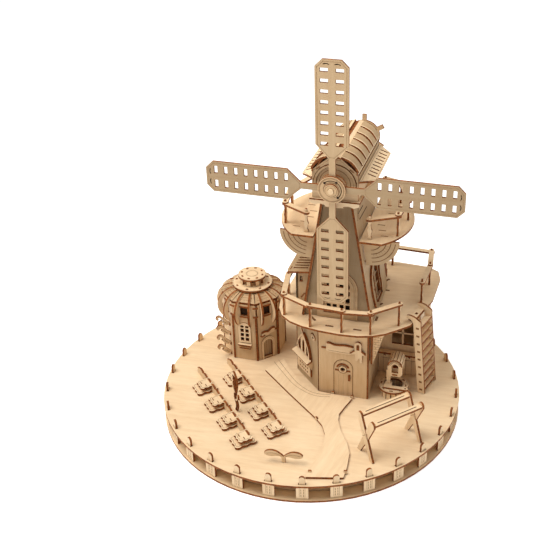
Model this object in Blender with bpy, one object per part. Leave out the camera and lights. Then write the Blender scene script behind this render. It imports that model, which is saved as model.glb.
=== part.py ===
"""A wooden 3D jigsaw model of a windmill manor, cut from 2 mm plywood.

A round base of two plates carries a main house with a deck, a four-sided windmill tower with two
side balconies and a ridged cap, a small domed house, a ladder, a well, a tying rack and two crop
rows. The four sails turn on an axle through the cap, and a hand wheel at the axle's rear end
turns them.

Metres, +Z up. The origin is the centre of the base's underside, and the front faces -Y.
"""

import math

import bmesh
import bpy
from mathutils import Matrix, Vector

MM = 0.001

# Driving dimensions
PLY = 2.0 * MM
GAP = 0.3 * MM

BASE_RADIUS = 140 * MM
BASE_HEIGHT = 18 * MM
STAKE_COUNT = 30
STAKE_RING = 136.8 * MM
STAKE_RISE = 8 * MM

HOUSE_HEIGHT = 73.5 * MM
DECK_TOP = BASE_HEIGHT + HOUSE_HEIGHT + PLY
RAIL_HEIGHT = 22 * MM

TOWER_X = 24 * MM
TOWER_FRONT_Y = 4 * MM
TOWER_BACK_Y = 70 * MM
TOWER_HEIGHT = 122.5 * MM
TOWER_FOOT_HALF = 33.3 * MM
TOWER_HEAD_HALF = 13.7 * MM
BALCONY_HEIGHT = 85.5 * MM
BALCONY_HALF = 60.5 * MM
BALCONY_Y = 44 * MM

CAP_FRONT_Y = -4 * MM
CAP_BACK_Y = 80 * MM
CAP_HALF = 20 * MM
CAP_WALL = 25.4 * MM
CAP_RIDGE = 37.7 * MM

HUB_Y = -12.3 * MM
HUB_Z = BASE_HEIGHT + 214.6 * MM
SAIL_LENGTH = 111 * MM
SAIL_WIDTH = 28 * MM
AXLE_RADIUS = 2.5 * MM
WHEEL_Y = 108 * MM
WHEEL_RADIUS = 15 * MM
PEG_RADIUS = 20.8 * MM

DOME_X, DOME_Y = -73.6 * MM, 50.3 * MM
DOME_APOTHEM = 28.5 * MM
DOME_WALL = 63.7 * MM
DOME_RING_Z = 72 * MM
DOME_TOP_Z = 82.6 * MM

WELL_X, WELL_Y = 78 * MM, 5 * MM
WELL_RADIUS = 14 * MM
WELL_HEIGHT = 10 * MM

ROUND = 32
BASE_SIDES = 72
UP = Vector((0, 0, 1))

for old in list(bpy.data.objects):
    bpy.data.objects.remove(old)

model = bpy.data.collections.new("windmill_manor")
bpy.context.scene.collection.children.link(model)


# ---------------------------------------------------------------- outlines

def mm(points):
    return [(x * MM, y * MM) for x, y in points]


def rect(x0, y0, x1, y1):
    return [(x0, y0), (x1, y0), (x1, y1), (x0, y1)]


def arc(cx, cy, radius, start, stop, count, squeeze=1.0):
    """Points on an arc from start to stop degrees. Squeeze scales its second axis."""
    turns = [math.radians(start + (stop - start) * i / count) for i in range(count + 1)]
    return [(cx + radius * math.cos(t), cy + squeeze * radius * math.sin(t)) for t in turns]


def circle(cx, cy, radius, count=ROUND):
    return arc(cx, cy, radius, 0, 360 * (count - 1) / count, count - 1)


def arch(cx, width, bottom, top, count=8):
    """An opening with an upright body and a round head."""
    half = width / 2
    return [(cx - half, bottom), (cx + half, bottom)] + arc(cx, top - half, half, 0, 180, count)


def moved(loop, dx, dy, degrees=0.0):
    """A loop turned about its origin, then shifted."""
    c, s = math.cos(math.radians(degrees)), math.sin(math.radians(degrees))
    return [(dx + x * c - y * s, dy + x * s + y * c) for x, y in loop]


def mirrored(loop):
    return [(-x, y) for x, y in reversed(loop)]


# ---------------------------------------------------------------- frames

def frame(origin, along, up=UP):
    """A plate's place: its x runs along, its y runs up, and its outer face looks along x cross y."""
    x = Vector(along).normalized()
    y = Vector(up).normalized()
    matrix = Matrix((x, y, x.cross(y))).transposed().to_4x4()
    matrix.translation = Vector(origin)
    return matrix


def level(z, x=0.0, y=0.0):
    """A flat plate's place, with its underside at z."""
    return Matrix.Translation((x, y, z + PLY / 2))


# ---------------------------------------------------------------- pieces

def plate(loops, place, thickness=PLY):
    """A flat piece of plywood: the first loop is its outline, and the others are its openings."""
    curve = bpy.data.curves.new("outline", "CURVE")
    curve.dimensions = "2D"
    curve.fill_mode = "BOTH"
    curve.extrude = thickness / 2
    for loop in loops:
        spline = curve.splines.new("POLY")
        spline.points.add(len(loop) - 1)
        for point, (x, y) in zip(spline.points, loop):
            point.co = (x, y, 0, 1)
        spline.use_cyclic_u = True
    outline = bpy.data.objects.new("outline", curve)
    outline.matrix_world = place
    bpy.context.scene.collection.objects.link(outline)
    graph = bpy.context.evaluated_depsgraph_get()
    piece = bpy.data.objects.new("piece", bpy.data.meshes.new_from_object(outline.evaluated_get(graph)))
    piece.matrix_world = place
    bpy.data.objects.remove(outline)
    bpy.data.curves.remove(curve)
    weld(piece.data)
    return piece


def weld(mesh):
    body = bmesh.new()
    body.from_mesh(mesh)
    bmesh.ops.remove_doubles(body, verts=body.verts, dist=1e-6)
    bmesh.ops.recalc_face_normals(body, faces=body.faces)
    body.to_mesh(mesh)
    body.free()


def rod(start, end, radius, sides=ROUND):
    """A round bar between two points."""
    start, end = Vector(start), Vector(end)
    body = bmesh.new()
    bmesh.ops.create_cone(body, cap_ends=True, segments=sides, radius1=radius, radius2=radius,
                          depth=(end - start).length)
    mesh = bpy.data.meshes.new("rod")
    body.to_mesh(mesh)
    body.free()
    piece = bpy.data.objects.new("rod", mesh)
    turn = UP.rotation_difference(end - start).to_matrix().to_4x4()
    piece.matrix_world = Matrix.Translation((start + end) / 2) @ turn
    return piece


def joined(pieces):
    """One body from overlapping pieces."""
    first, others = pieces[0], pieces[1:]
    if not others:
        return first
    group = bpy.data.collections.new("operands")
    bpy.context.scene.collection.children.link(group)
    bpy.context.scene.collection.objects.link(first)
    for other in others:
        group.objects.link(other)
    join = first.modifiers.new("join", "BOOLEAN")
    join.operation = "UNION"
    join.solver = "EXACT"
    join.operand_type = "COLLECTION"
    join.collection = group
    graph = bpy.context.evaluated_depsgraph_get()
    mesh = bpy.data.meshes.new_from_object(first.evaluated_get(graph))
    first.modifiers.clear()
    first.data = mesh
    bpy.context.scene.collection.objects.unlink(first)
    for other in others:
        bpy.data.objects.remove(other)
    bpy.data.collections.remove(group)
    return first


def plywood(name, colour):
    material = bpy.data.materials.new(name)
    material.use_nodes = True
    shader = material.node_tree.nodes["Principled BSDF"]
    shader.inputs["Base Color"].default_value = (*colour, 1)
    shader.inputs["Roughness"].default_value = 0.65
    shader.inputs["Metallic"].default_value = 0.0
    material.diffuse_color = (*colour, 1)
    return material


PALE = (0.80, 0.60, 0.36)
WARM = (0.70, 0.47, 0.25)


def node(name, pieces, colour=PALE, axis=None, smooth=False):
    """A named sub-part. A moving one is parented to the empty on its axis."""
    piece = joined(pieces)
    piece.name = name
    piece.data.name = name
    piece.data.materials.clear()
    piece.data.materials.append(plywood(name, colour))
    model.objects.link(piece)
    if smooth:
        piece.data.shade_smooth()
        piece.data.set_sharp_from_angle(angle=math.radians(40))
    if axis:
        piece.parent = axis
        piece.matrix_parent_inverse = axis.matrix_world.inverted()
    return piece


def pivot(name, x, y, z):
    empty = bpy.data.objects.new(name, None)
    empty.matrix_world = Matrix.Translation((x, y, z))
    model.objects.link(empty)
    return empty


# ---------------------------------------------------------------- base

def stake_angle(index):
    return -90 + 360 / STAKE_COUNT * index


def stake_frame(index):
    """A plate standing on its spot of the rim, looking outwards."""
    turn = math.radians(stake_angle(index))
    out = Vector((math.cos(turn), math.sin(turn), 0))
    return frame(out * STAKE_RING + UP * (PLY + GAP), UP.cross(out))


def base():
    node("base_bottom_plate", [plate([circle(0, 0, BASE_RADIUS, BASE_SIDES)], level(0))])

    stake_half = 3 * MM
    slots = []
    for i in range(STAKE_COUNT):
        slot = rect(-PLY / 2 - GAP, -stake_half - GAP, PLY / 2 + GAP, stake_half + GAP)
        turn = math.radians(stake_angle(i))
        slots.append(moved(slot, STAKE_RING * math.cos(turn), STAKE_RING * math.sin(turn),
                           stake_angle(i)))
    node("base_top_plate",
         [plate([circle(0, 0, BASE_RADIUS, BASE_SIDES)] + slots, level(BASE_HEIGHT - PLY))])

    panel_half = 6.2 * MM
    panel_top = BASE_HEIGHT - 2 * PLY - 2 * GAP
    stake_top = panel_top + GAP + PLY + STAKE_RISE
    stake = ([(-panel_half, 0), (panel_half, 0), (panel_half, panel_top), (stake_half, panel_top)]
             + arc(0, stake_top - stake_half, stake_half, 0, 180, 4)
             + [(-stake_half, panel_top), (-panel_half, panel_top)])
    lug, recess = STAKE_RING - PLY / 2 + 0.4 * MM, STAKE_RING - 8 * MM
    rim = []
    for i in range(STAKE_COUNT):
        for radius, offset in ((recess, -1.6), (lug, -1.6), (lug, 1.6), (recess, 1.6)):
            turn = math.radians(stake_angle(i) + offset)
            rim.append((radius * math.cos(turn), radius * math.sin(turn)))
    band = plate([rim, circle(0, 0, recess - PLY, 60)],
                 Matrix.Translation((0, 0, PLY + GAP + panel_top / 2)), panel_top - 0.8 * MM)
    node("base_rim_stakes", [band] + [plate([stake], stake_frame(i)) for i in range(STAKE_COUNT)],
         WARM)


# ---------------------------------------------------------------- path

PATH_LEFT = [(-49, 7), (-16, -22.5), (18, -51.6)]
PATH_BEND_LEFT = [(26, -60), (31.5, -71), (33.5, -84), (33, -100), (29, -118)]
PATH_FRONT = [(29.5, -127.5), (60.5, -120.5)]
PATH_BEND_RIGHT = [(60.5, -108), (58.5, -90), (53, -77), (44, -63), (38.4, -50), (36.8, -41),
                   (39, -31), (43, -16)]
PATH_COURT = [(24, -14), (6, -13), (-11, -2.5), (-25, 13), (-37, 29)]


def path():
    outline = PATH_LEFT + PATH_BEND_LEFT + PATH_FRONT + PATH_BEND_RIGHT + PATH_COURT
    node("path_plate", [plate([mm(outline)], level(BASE_HEIGHT + GAP))])


# ---------------------------------------------------------------- main house

HOUSE = {
    "front_left": ((-20, 19), (10, -11)),
    "front": ((10, -11), (57, -11)),
    "right": ((57, -11), (57, 37)),
    "wing_front": ((57, 35), (96, 35)),
    "wing_right": ((96, 35), (96, 104)),
    "rear": ((96, 104), (-20, 104)),
    "left": ((-20, 104), (-20, 19)),
}


def standing(start, end, foot):
    """A wall's place: its outer face stands on the line from start to end."""
    start, end = Vector((*start, 0)) * MM, Vector((*end, 0)) * MM
    along = (end - start).normalized()
    outward = along.cross(UP)
    return frame(start - outward * PLY / 2 + UP * foot, along), (end - start).length


def house_wall(name, openings=(), trim_start=0.0, trim_end=0.0, fitted=()):
    place, length = standing(*HOUSE[name], BASE_HEIGHT + GAP)
    body = rect(trim_start, 0, length - trim_end, HOUSE_HEIGHT - 2 * GAP)
    node("house_wall_" + name, [plate([body, *openings], place), *fitted])


def house():
    corner = PLY + GAP
    mitre = 1.7 * MM
    knob = circle(22.9 * MM, 30.4 * MM, 2.2 * MM, 12)
    house_wall("front", [knob])
    house_wall("front_left", [arch(16.5 * MM, 16 * MM, 26 * MM, 51 * MM)], mitre, mitre)
    house_wall("right", [], corner)
    shelf = plate([mm(rect(57.6, 28, 95.8, 36.4))], level(BASE_HEIGHT + 26 * MM))
    house_wall("wing_front", [mm(rect(12.3, 34.5, 34, 60))], GAP, fitted=[shelf])
    house_wall("wing_right", [arch(34 * MM, 16 * MM, 20 * MM, 50 * MM)], corner)
    house_wall("rear", [arch(x * MM, 16 * MM, 20 * MM, 50 * MM) for x in (29, 87)]
               + [arch(58 * MM, 20 * MM, 6 * MM, 46 * MM)], corner)
    house_wall("left", [arch(x * MM, 15 * MM, 22 * MM, 50 * MM) for x in (24, 60)], corner)

    gusset = [(0, 0), (-13, 0), (-2.5, -33), (0, -33)]
    strip = rect(0, -34 * MM, 4.5 * MM, 0)
    top = BASE_HEIGHT + HOUSE_HEIGHT - GAP
    node("deck_gusset_right", [
        plate([mm(gusset)], frame((58 * MM, -5 * MM, top), (-1, 0, 0))),
        plate([strip], frame((59.5 * MM, -9.2 * MM, top), (0, 1, 0)))], WARM)


# ---------------------------------------------------------------- deck

DECK = [(-36, 40), (-35.5, 20), (-33, 8), (-27, -3), (-17, -11), (-4, -16), (12, -19), (31, -20.5),
        (48, -19.5), (61, -16), (72, -9.5), (82, 0), (91, 9), (104, 56), (105, 96), (101, 110),
        (90, 117), (60, 119), (0, 119), (-22, 114), (-34, 100)]
RAIL = [(93.8, 51), (96, 84), (93, 110), (54, 112), (10, 112), (-24, 106), (-31, 72), (-31, 33),
        (-25, -1.2), (3.5, -14.7), (33.2, -16.6), (59, -13.6), (80.8, 6.6)]


def chord(a, b, width, lap):
    """The corners of a strip from a to b, lapping past both ends."""
    a, b = Vector(a), Vector(b)
    along = (b - a).normalized() * lap
    side = Vector((-along.y, along.x)).normalized() * width / 2
    return [tuple(a - along - side), tuple(b + along - side), tuple(b + along + side),
            tuple(a - along + side)]


def railing(points, foot, height):
    """Posts with a cap of lapped strips, each with a peg through it."""
    pieces = []
    post = 1.5 * MM
    for i, (a, b) in enumerate(zip(points, points[1:])):
        lift = height - PLY + (PLY * 0.7 if i % 2 else 0)
        pieces.append(plate([chord(a, b, 5 * MM, 2.2 * MM)], level(foot + lift)))
    for x, y in points:
        shaft = rect(-post, 0, post, height + 3.2 * MM)
        pieces.append(plate([shaft], frame((x, y, foot + GAP), (1, 0, 0))))
    return pieces


def deck():
    node("main_deck", [plate([mm(DECK)], level(DECK_TOP - PLY))])
    node("deck_railing", railing(mm(RAIL), DECK_TOP, RAIL_HEIGHT), WARM)


# ---------------------------------------------------------------- ladder

LADDER_FOOT = Vector((107, 9.2, 0)) * MM
LADDER_OUT = Vector((math.cos(math.radians(-15.3)), math.sin(math.radians(-15.3)), 0))
LADDER_WIDTH = 26 * MM
TREADS = 9


def ladder():
    across = UP.cross(LADDER_OUT)
    lean = -7.3 / 76
    stringer = mm([(0, 0), (76 * lean, 76), (-9.5, 79.5), (-14, 81.5), (-20, 82), (-22, 80.5),
                   (-20.5, 78), (-15.5, 77.6), (-14.2, 75), (-7.2, 0)])
    foot = LADDER_FOOT + UP * (BASE_HEIGHT + GAP)
    pieces = [plate([stringer], frame(foot + across * (PLY / 2 + step), LADDER_OUT))
              for step in (0, LADDER_WIDTH - PLY)]
    for i in range(TREADS):
        z = (4 + 8.3 * i) * MM
        inner = -7 * MM + z * lean
        tread = rect(inner + 0.4 * MM, 0.5 * MM, inner + 6.6 * MM, LADDER_WIDTH - 0.5 * MM)
        pieces.append(plate([tread], frame(foot + UP * z, LADDER_OUT, across)))
    node("ladder", pieces)


# ---------------------------------------------------------------- tower

def tower_half(height):
    """Half the tower's width at a height above the deck."""
    return TOWER_FOOT_HALF + (TOWER_HEAD_HALF - TOWER_FOOT_HALF) * height / TOWER_HEIGHT


def tower_side_frame(side, lift):
    """A leaning side's place: side is 1 for the right and -1 for the left."""
    slope = Vector((side * (TOWER_HEAD_HALF - TOWER_FOOT_HALF), 0, TOWER_HEIGHT)).normalized()
    near = TOWER_FRONT_Y - 2.5 * MM if side > 0 else TOWER_BACK_Y
    place = frame((TOWER_X + side * TOWER_FOOT_HALF, near, DECK_TOP), (0, side, 0), slope)
    return place @ Matrix.Translation((0, lift, -PLY / 2))


def tower():
    depth = TOWER_BACK_Y - TOWER_FRONT_Y + 2.5 * MM
    slope_length = math.hypot(TOWER_HEIGHT, TOWER_FOOT_HALF - TOWER_HEAD_HALF)
    lift = 0.7 * MM
    for side, name in ((1, "right"), (-1, "left")):
        front = 20 * MM if side > 0 else depth - 20 * MM
        slits = [moved(rect(0, -PLY / 4, 14 * MM, PLY / 4), front + dx * MM * side,
                       101 * MM, 65 if side > 0 else 115) for dx in (-13, -9)]
        window = [arch(depth / 2, 14 * MM, 12 * MM, 44 * MM)]
        node("tower_side_" + name,
             [plate([rect(0, 0, depth, slope_length - lift - 0.5 * MM), *slits, *window],
                    tower_side_frame(side, lift))])
    inset = PLY / math.cos(math.atan2(TOWER_FOOT_HALF - TOWER_HEAD_HALF, TOWER_HEIGHT)) + 0.4 * MM
    foot, head = tower_half(0) - inset, tower_half(TOWER_HEIGHT) - inset
    body = [(-foot, GAP), (foot, GAP), (head, TOWER_HEIGHT - GAP), (-head, TOWER_HEIGHT - GAP)]
    window = arch(0, 27 * MM, 6 * MM, 44 * MM, 12)
    node("tower_front", [plate([body, window],
                               frame((TOWER_X, TOWER_FRONT_Y + PLY / 2, DECK_TOP), (1, 0, 0)))])
    rear = [plate([body, arch(0, 18 * MM, 4 * MM, 42 * MM)],
                  frame((TOWER_X, TOWER_BACK_Y - PLY / 2, DECK_TOP), (-1, 0, 0)))]
    steps = mm([(69, 0.3), (90, 0.3), (90, 8), (86, 8), (86, 16), (82, 16), (82, 24), (78, 24),
                (78, 32), (74, 32), (74, 38), (70.3, 38), (70.3, 8), (69, 8)])
    for side in (-1, 1):
        rear.append(plate([steps], frame((TOWER_X + side * 28 * MM, 0, DECK_TOP), (0, 1, 0))))
    node("tower_rear", rear)


def tower_window():
    """A lattice frame set behind the front's arched opening."""
    outer = arch(0, 32 * MM, 3 * MM, 46.5 * MM, 12)
    panes = []
    for left, right in ((-11, -6.8), (-5.2, -1.2), (1.2, 5.2), (6.8, 11)):
        for row in range(4):
            panes.append(mm(rect(left, 8 + 7.4 * row, right, 13.6 + 7.4 * row)))
    place = frame((TOWER_X, TOWER_FRONT_Y + PLY * 1.5 + GAP, DECK_TOP), (1, 0, 0))
    node("tower_window", [plate([outer, *panes], place)], WARM)


def balcony_outline():
    """The right balcony's outline about the tower's centre: a slice of a disc beside the tower."""
    inner = tower_half(BALCONY_HEIGHT - PLY) + 0.8 * MM
    curve = arc(0, BALCONY_Y, BALCONY_HALF, -48, 51, 24)
    return [(inner, curve[0][1])] + curve + [(inner, curve[-1][1])]


def balconies():
    posts = mm([(28.5, 5.6), (51, 18), (54.5, 50), (41.5, 82.5), (25.5, 88)])
    top = DECK_TOP + BALCONY_HEIGHT
    for side, name in ((1, "right"), (-1, "left")):
        shape = balcony_outline() if side > 0 else mirrored(balcony_outline())
        node("balcony_" + name, [plate([shape], level(top - PLY, TOWER_X))])
        rail = posts if side > 0 else mirrored(posts)
        rail = [(TOWER_X + x, y) for x, y in rail]
        node("balcony_railing_" + name, railing(rail, top, 20 * MM), WARM)
        node("corbels_" + name, corbel_pair(side, top - PLY - GAP), WARM)


def corbel_pair(side, top):
    """Two quarter-round corbels under a balcony, on the batten that ties them."""
    wall = tower_half(BALCONY_HEIGHT - PLY) + 1.2 * MM
    foot = tower_half(BALCONY_HEIGHT - PLY - 26 * MM) + 1.2 * MM
    bow = arc(foot + 3 * MM, GAP, 26 * MM, -90, -4, 10)
    shape = [(wall, 0), (foot, -26 * MM)] + bow + [(foot + 29 * MM, 0)]
    batten = [(wall, 0), (wall + 1.12 * MM, -7 * MM), (wall + 3.3 * MM, -7 * MM),
              (wall + 2.2 * MM, 0)]
    if side < 0:
        shape, batten = mirrored(shape), mirrored(batten)
    near, far = 10 * MM, 62 * MM
    middle = frame((TOWER_X, (near + far) / 2, top), (1, 0, 0))
    return [plate([shape], frame((TOWER_X, y, top), (1, 0, 0))) for y in (near, far)] + [
        plate([batten], middle, far - near)]


def awning():
    """A bay on the tower's left side: three walls on the deck under a slotted roof."""
    rise = 37.5 * MM
    inner = TOWER_X - tower_half(rise) - 2.2 * MM
    near, width, reach = 16 * MM, 44 * MM, 22 * MM
    out = Vector((-1, 0, -0.12)).normalized()
    corner = 4 * MM
    outline = [(0, 0), (width, 0)] + arc(width - corner, reach - corner, corner, 0, 90, 3)
    outline += arc(corner, reach - corner, corner, 90, 180, 3)
    slots = [rect((6 + 4.9 * i) * MM, 3 * MM, (7.8 + 4.9 * i) * MM, 17 * MM) for i in range(7)]
    pieces = [plate([outline, *slots], frame((inner, near, DECK_TOP + rise), (0, 1, 0), out))]
    foot = GAP - rise
    for y in (22 * MM, 54 * MM):
        wall = [(0.2 * MM, 0.4 * MM), (-14.5 * MM, -1.4 * MM), (-14.5 * MM, foot), (-5 * MM, foot)]
        pieces.append(plate([wall], frame((inner, y, DECK_TOP + rise), (1, 0, 0))))
    left = [rect(-55 * MM, foot, -21 * MM, -1.9 * MM), arch(-38 * MM, 13 * MM, -31 * MM, -9 * MM)]
    pieces.append(plate(left, frame((inner - 13.5 * MM, 0, DECK_TOP + rise), (0, -1, 0))))
    node("awning_left", pieces)


# ---------------------------------------------------------------- cap

def gable(openings):
    half, wall, ridge, flat = CAP_HALF, CAP_WALL, CAP_RIDGE, 5.5 * MM
    outline = [(-half, 0), (half, 0), (half, wall), (flat, ridge), (-flat, ridge), (-half, wall)]
    return [outline, *openings]


def cap():
    floor_z = DECK_TOP + TOWER_HEIGHT + GAP
    wall_z = floor_z + PLY + GAP
    hub = HUB_Z - wall_z
    bore = circle(0, hub, AXLE_RADIUS + 0.4 * MM, 24)
    front_y, back_y = CAP_FRONT_Y, CAP_BACK_Y
    node("cap_floor", [plate([rect(TOWER_X - 22 * MM, front_y - 1.5 * MM, TOWER_X + 22 * MM, back_y)],
                             level(floor_z))])
    node("cap_gable_front", [plate(gable([bore]),
                                   frame((TOWER_X, front_y + PLY / 2, wall_z), (1, 0, 0)))])
    node("cap_gable_rear", [plate(gable([bore]),
                                  frame((TOWER_X, back_y - PLY / 2, wall_z), (-1, 0, 0)))])
    length = back_y - front_y - 2 * PLY - 2 * GAP
    for side, name in ((1, "right"), (-1, "left")):
        place = frame((TOWER_X + side * (CAP_HALF - PLY / 2), front_y + PLY + GAP, wall_z),
                      (0, 1, 0))
        node("cap_side_" + name, [plate([rect(0, 0, length, CAP_WALL - 3 * MM)], place)])

    for side, name in ((1, "right"), (-1, "left")):
        inner = TOWER_X + side * (CAP_HALF + 0.6 * MM)
        drop = Vector((side * 12, 0, -4)).normalized()
        size = 12.6 * MM
        ends = [(0, front_y + 1 * MM), (0, back_y - 1 * MM), (size, back_y - 9 * MM),
                (size, front_y + 15 * MM)]
        outline = [(y, x) for x, y in ends]
        slots = [rect((15.4 + 6.6 * i) * MM, 3 * MM, (17.2 + 6.6 * i) * MM, 10.5 * MM)
                 for i in range(9)]
        place = frame((inner, 0, wall_z + 17.6 * MM), (0, 1, 0), drop)
        node("cap_wing_" + name, [plate([outline, *slots], place)])


def vault():
    """The ridged roof: shingles bent over the cap from the ridge to the eaves, under two rails."""
    wall_z = DECK_TOP + TOWER_HEIGHT + 2 * GAP + PLY
    eave = Vector((CAP_HALF - 0.5 * MM, CAP_WALL + 0.6 * MM))
    ridge = Vector((4.6 * MM, CAP_RIDGE + 0.6 * MM))
    slope = ridge - eave
    outward = Vector((-slope.y, slope.x)).normalized() * -1
    steps = 5

    def profile(rise, bulge):
        """The right slope's outer line, from the eave to the ridge."""
        return [eave + slope * (i / steps) + outward * (rise + bulge * math.sin(math.pi * i / steps))
                for i in range(steps + 1)]

    front, back = CAP_FRONT_Y - 1 * MM, CAP_BACK_Y + GAP
    count = 8
    pitch = (back - front) / count
    pieces = []

    def section(rise, bulge, under, near, depth):
        right = [tuple(p) for p in profile(rise, bulge)]
        low = [tuple(p) for p in profile(rise - under, bulge)]
        outer = right + [(-x, y) for x, y in reversed(right)]
        inner = low + [(-x, y) for x, y in reversed(low)]
        return plate([outer + inner[::-1]],
                     frame((TOWER_X, near + depth / 2, wall_z), (1, 0, 0)), depth)

    pieces.append(section(1.2 * MM, 2 * MM, 1.2 * MM, front, back - front))
    for i in range(count):
        near = front + i * pitch + 0.3 * MM
        pieces.append(section(2.2 * MM, 2.4 * MM, 1.7 * MM, near, PLY))
    node("cap_vault", pieces, WARM)


# ---------------------------------------------------------------- sails and drive

def sail_outline():
    """A blade pointing up, from inside the hub to its tip."""
    half, stem = SAIL_WIDTH / 2, 2.8 * MM
    cut = 6 * MM
    right = [(stem, 4.2 * MM), (stem, 27 * MM), (half, 39 * MM), (half, SAIL_LENGTH - cut),
             (half - cut, SAIL_LENGTH)]
    return right + mirrored(right)


def sail_slots():
    slots = []
    for row in range(8):
        y = (40 + 8.9 * row) * MM
        for side in (-1, 1):
            slots.append(moved(rect(-3.4 * MM, -1.6 * MM, 3.4 * MM, 1.6 * MM), side * 6.5 * MM, y))
    return slots


def upright(x, y, z):
    """A place facing the front, for round plates on an axle."""
    return frame((x, y, z), (1, 0, 0))


def sails():
    axis = pivot("sail_axis", TOWER_X, HUB_Y, HUB_Z)
    bore = AXLE_RADIUS + GAP
    layer = PLY + GAP
    for name, degrees in (("top", 0), ("left", 90), ("bottom", 180), ("right", 270)):
        place = upright(TOWER_X, HUB_Y, HUB_Z) @ Matrix.Rotation(math.radians(degrees), 4, "Z")
        node("sail_" + name, [plate([sail_outline(), *sail_slots()], place)], PALE, axis)
    node("hub_rear_disc", [plate([circle(0, 0, 12 * MM, 40), circle(0, 0, bore, 24)],
                                 upright(TOWER_X, HUB_Y + layer, HUB_Z))], PALE, axis)
    pins = [circle(8.4 * MM * math.cos(math.radians(a)), 8.4 * MM * math.sin(math.radians(a)),
                   0.9 * MM, 8) for a in (60, 135, -50)]
    node("hub_front_disc", [plate([circle(0, 0, 12 * MM, 40), circle(0, 0, bore, 24), *pins],
                                  upright(TOWER_X, HUB_Y - layer, HUB_Z))], PALE, axis)
    node("hub_cap_disc", [plate([circle(0, 0, 6 * MM, 28), circle(0, 0, bore, 24)],
                                upright(TOWER_X, HUB_Y - 2 * layer, HUB_Z))], PALE, axis)
    node("sail_axle", [rod((TOWER_X, HUB_Y - 3 * layer, HUB_Z), (TOWER_X, WHEEL_Y + 4 * MM, HUB_Z),
                           AXLE_RADIUS, 24)], WARM, axis, smooth=True)
    for name, y in (("axle_collar", CAP_FRONT_Y + PLY + 2.5 * MM),
                    ("rear_collar", CAP_BACK_Y + PLY / 2 + 1 * MM), ("wheel_collar", WHEEL_Y - layer)):
        node(name, [plate([circle(0, 0, 6 * MM, 28), circle(0, 0, bore, 24)],
                          upright(TOWER_X, y, HUB_Z))], PALE, axis)
    hand_wheel(axis)


def hand_wheel(axis):
    """A ring on six spokes whose ends stick out as pegs."""
    spokes = 6
    peg = 2 * MM
    outline = []
    for i in range(spokes):
        centre = 90 + 360 / spokes * i
        reach = math.degrees(math.asin(peg / WHEEL_RADIUS))
        along = Vector((math.cos(math.radians(centre)), math.sin(math.radians(centre))))
        side = Vector((-along.y, along.x)) * peg
        outline += [tuple(along * PEG_RADIUS - side), tuple(along * PEG_RADIUS + side)]
        outline += arc(0, 0, WHEEL_RADIUS, centre + reach, centre + 360 / spokes - reach, 5)
    windows = []
    for i in range(spokes):
        low, high = 90 + 360 / spokes * i, 90 + 360 / spokes * (i + 1)
        outer = arc(0, 0, WHEEL_RADIUS - 3 * MM, low + 10, high - 10, 4)
        inner = arc(0, 0, 6 * MM, high - 21, low + 21, 2)
        windows.append(outer + inner)
    node("hand_wheel", [plate([outline, *windows, circle(0, 0, AXLE_RADIUS + GAP, 24)],
                              upright(TOWER_X, WHEEL_Y, HUB_Z))], PALE, axis)


# ---------------------------------------------------------------- domed house

def dome_side(index):
    """The plan corners of one side of the domed house, counted anticlockwise from the front."""
    radius = DOME_APOTHEM / math.cos(math.radians(22.5))
    corners = []
    for turn in (-112.5 + 45 * index, -67.5 + 45 * index):
        corners.append(((DOME_X + radius * math.cos(math.radians(turn))) / MM,
                        (DOME_Y + radius * math.sin(math.radians(turn))) / MM))
    return corners


def dome_wall(index, openings, trim_start=0.2 * MM, trim_end=0.2 * MM):
    place, length = standing(*dome_side(index), BASE_HEIGHT + GAP)
    return plate([rect(trim_start, 0, length - trim_end, DOME_WALL), *openings], place)


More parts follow.
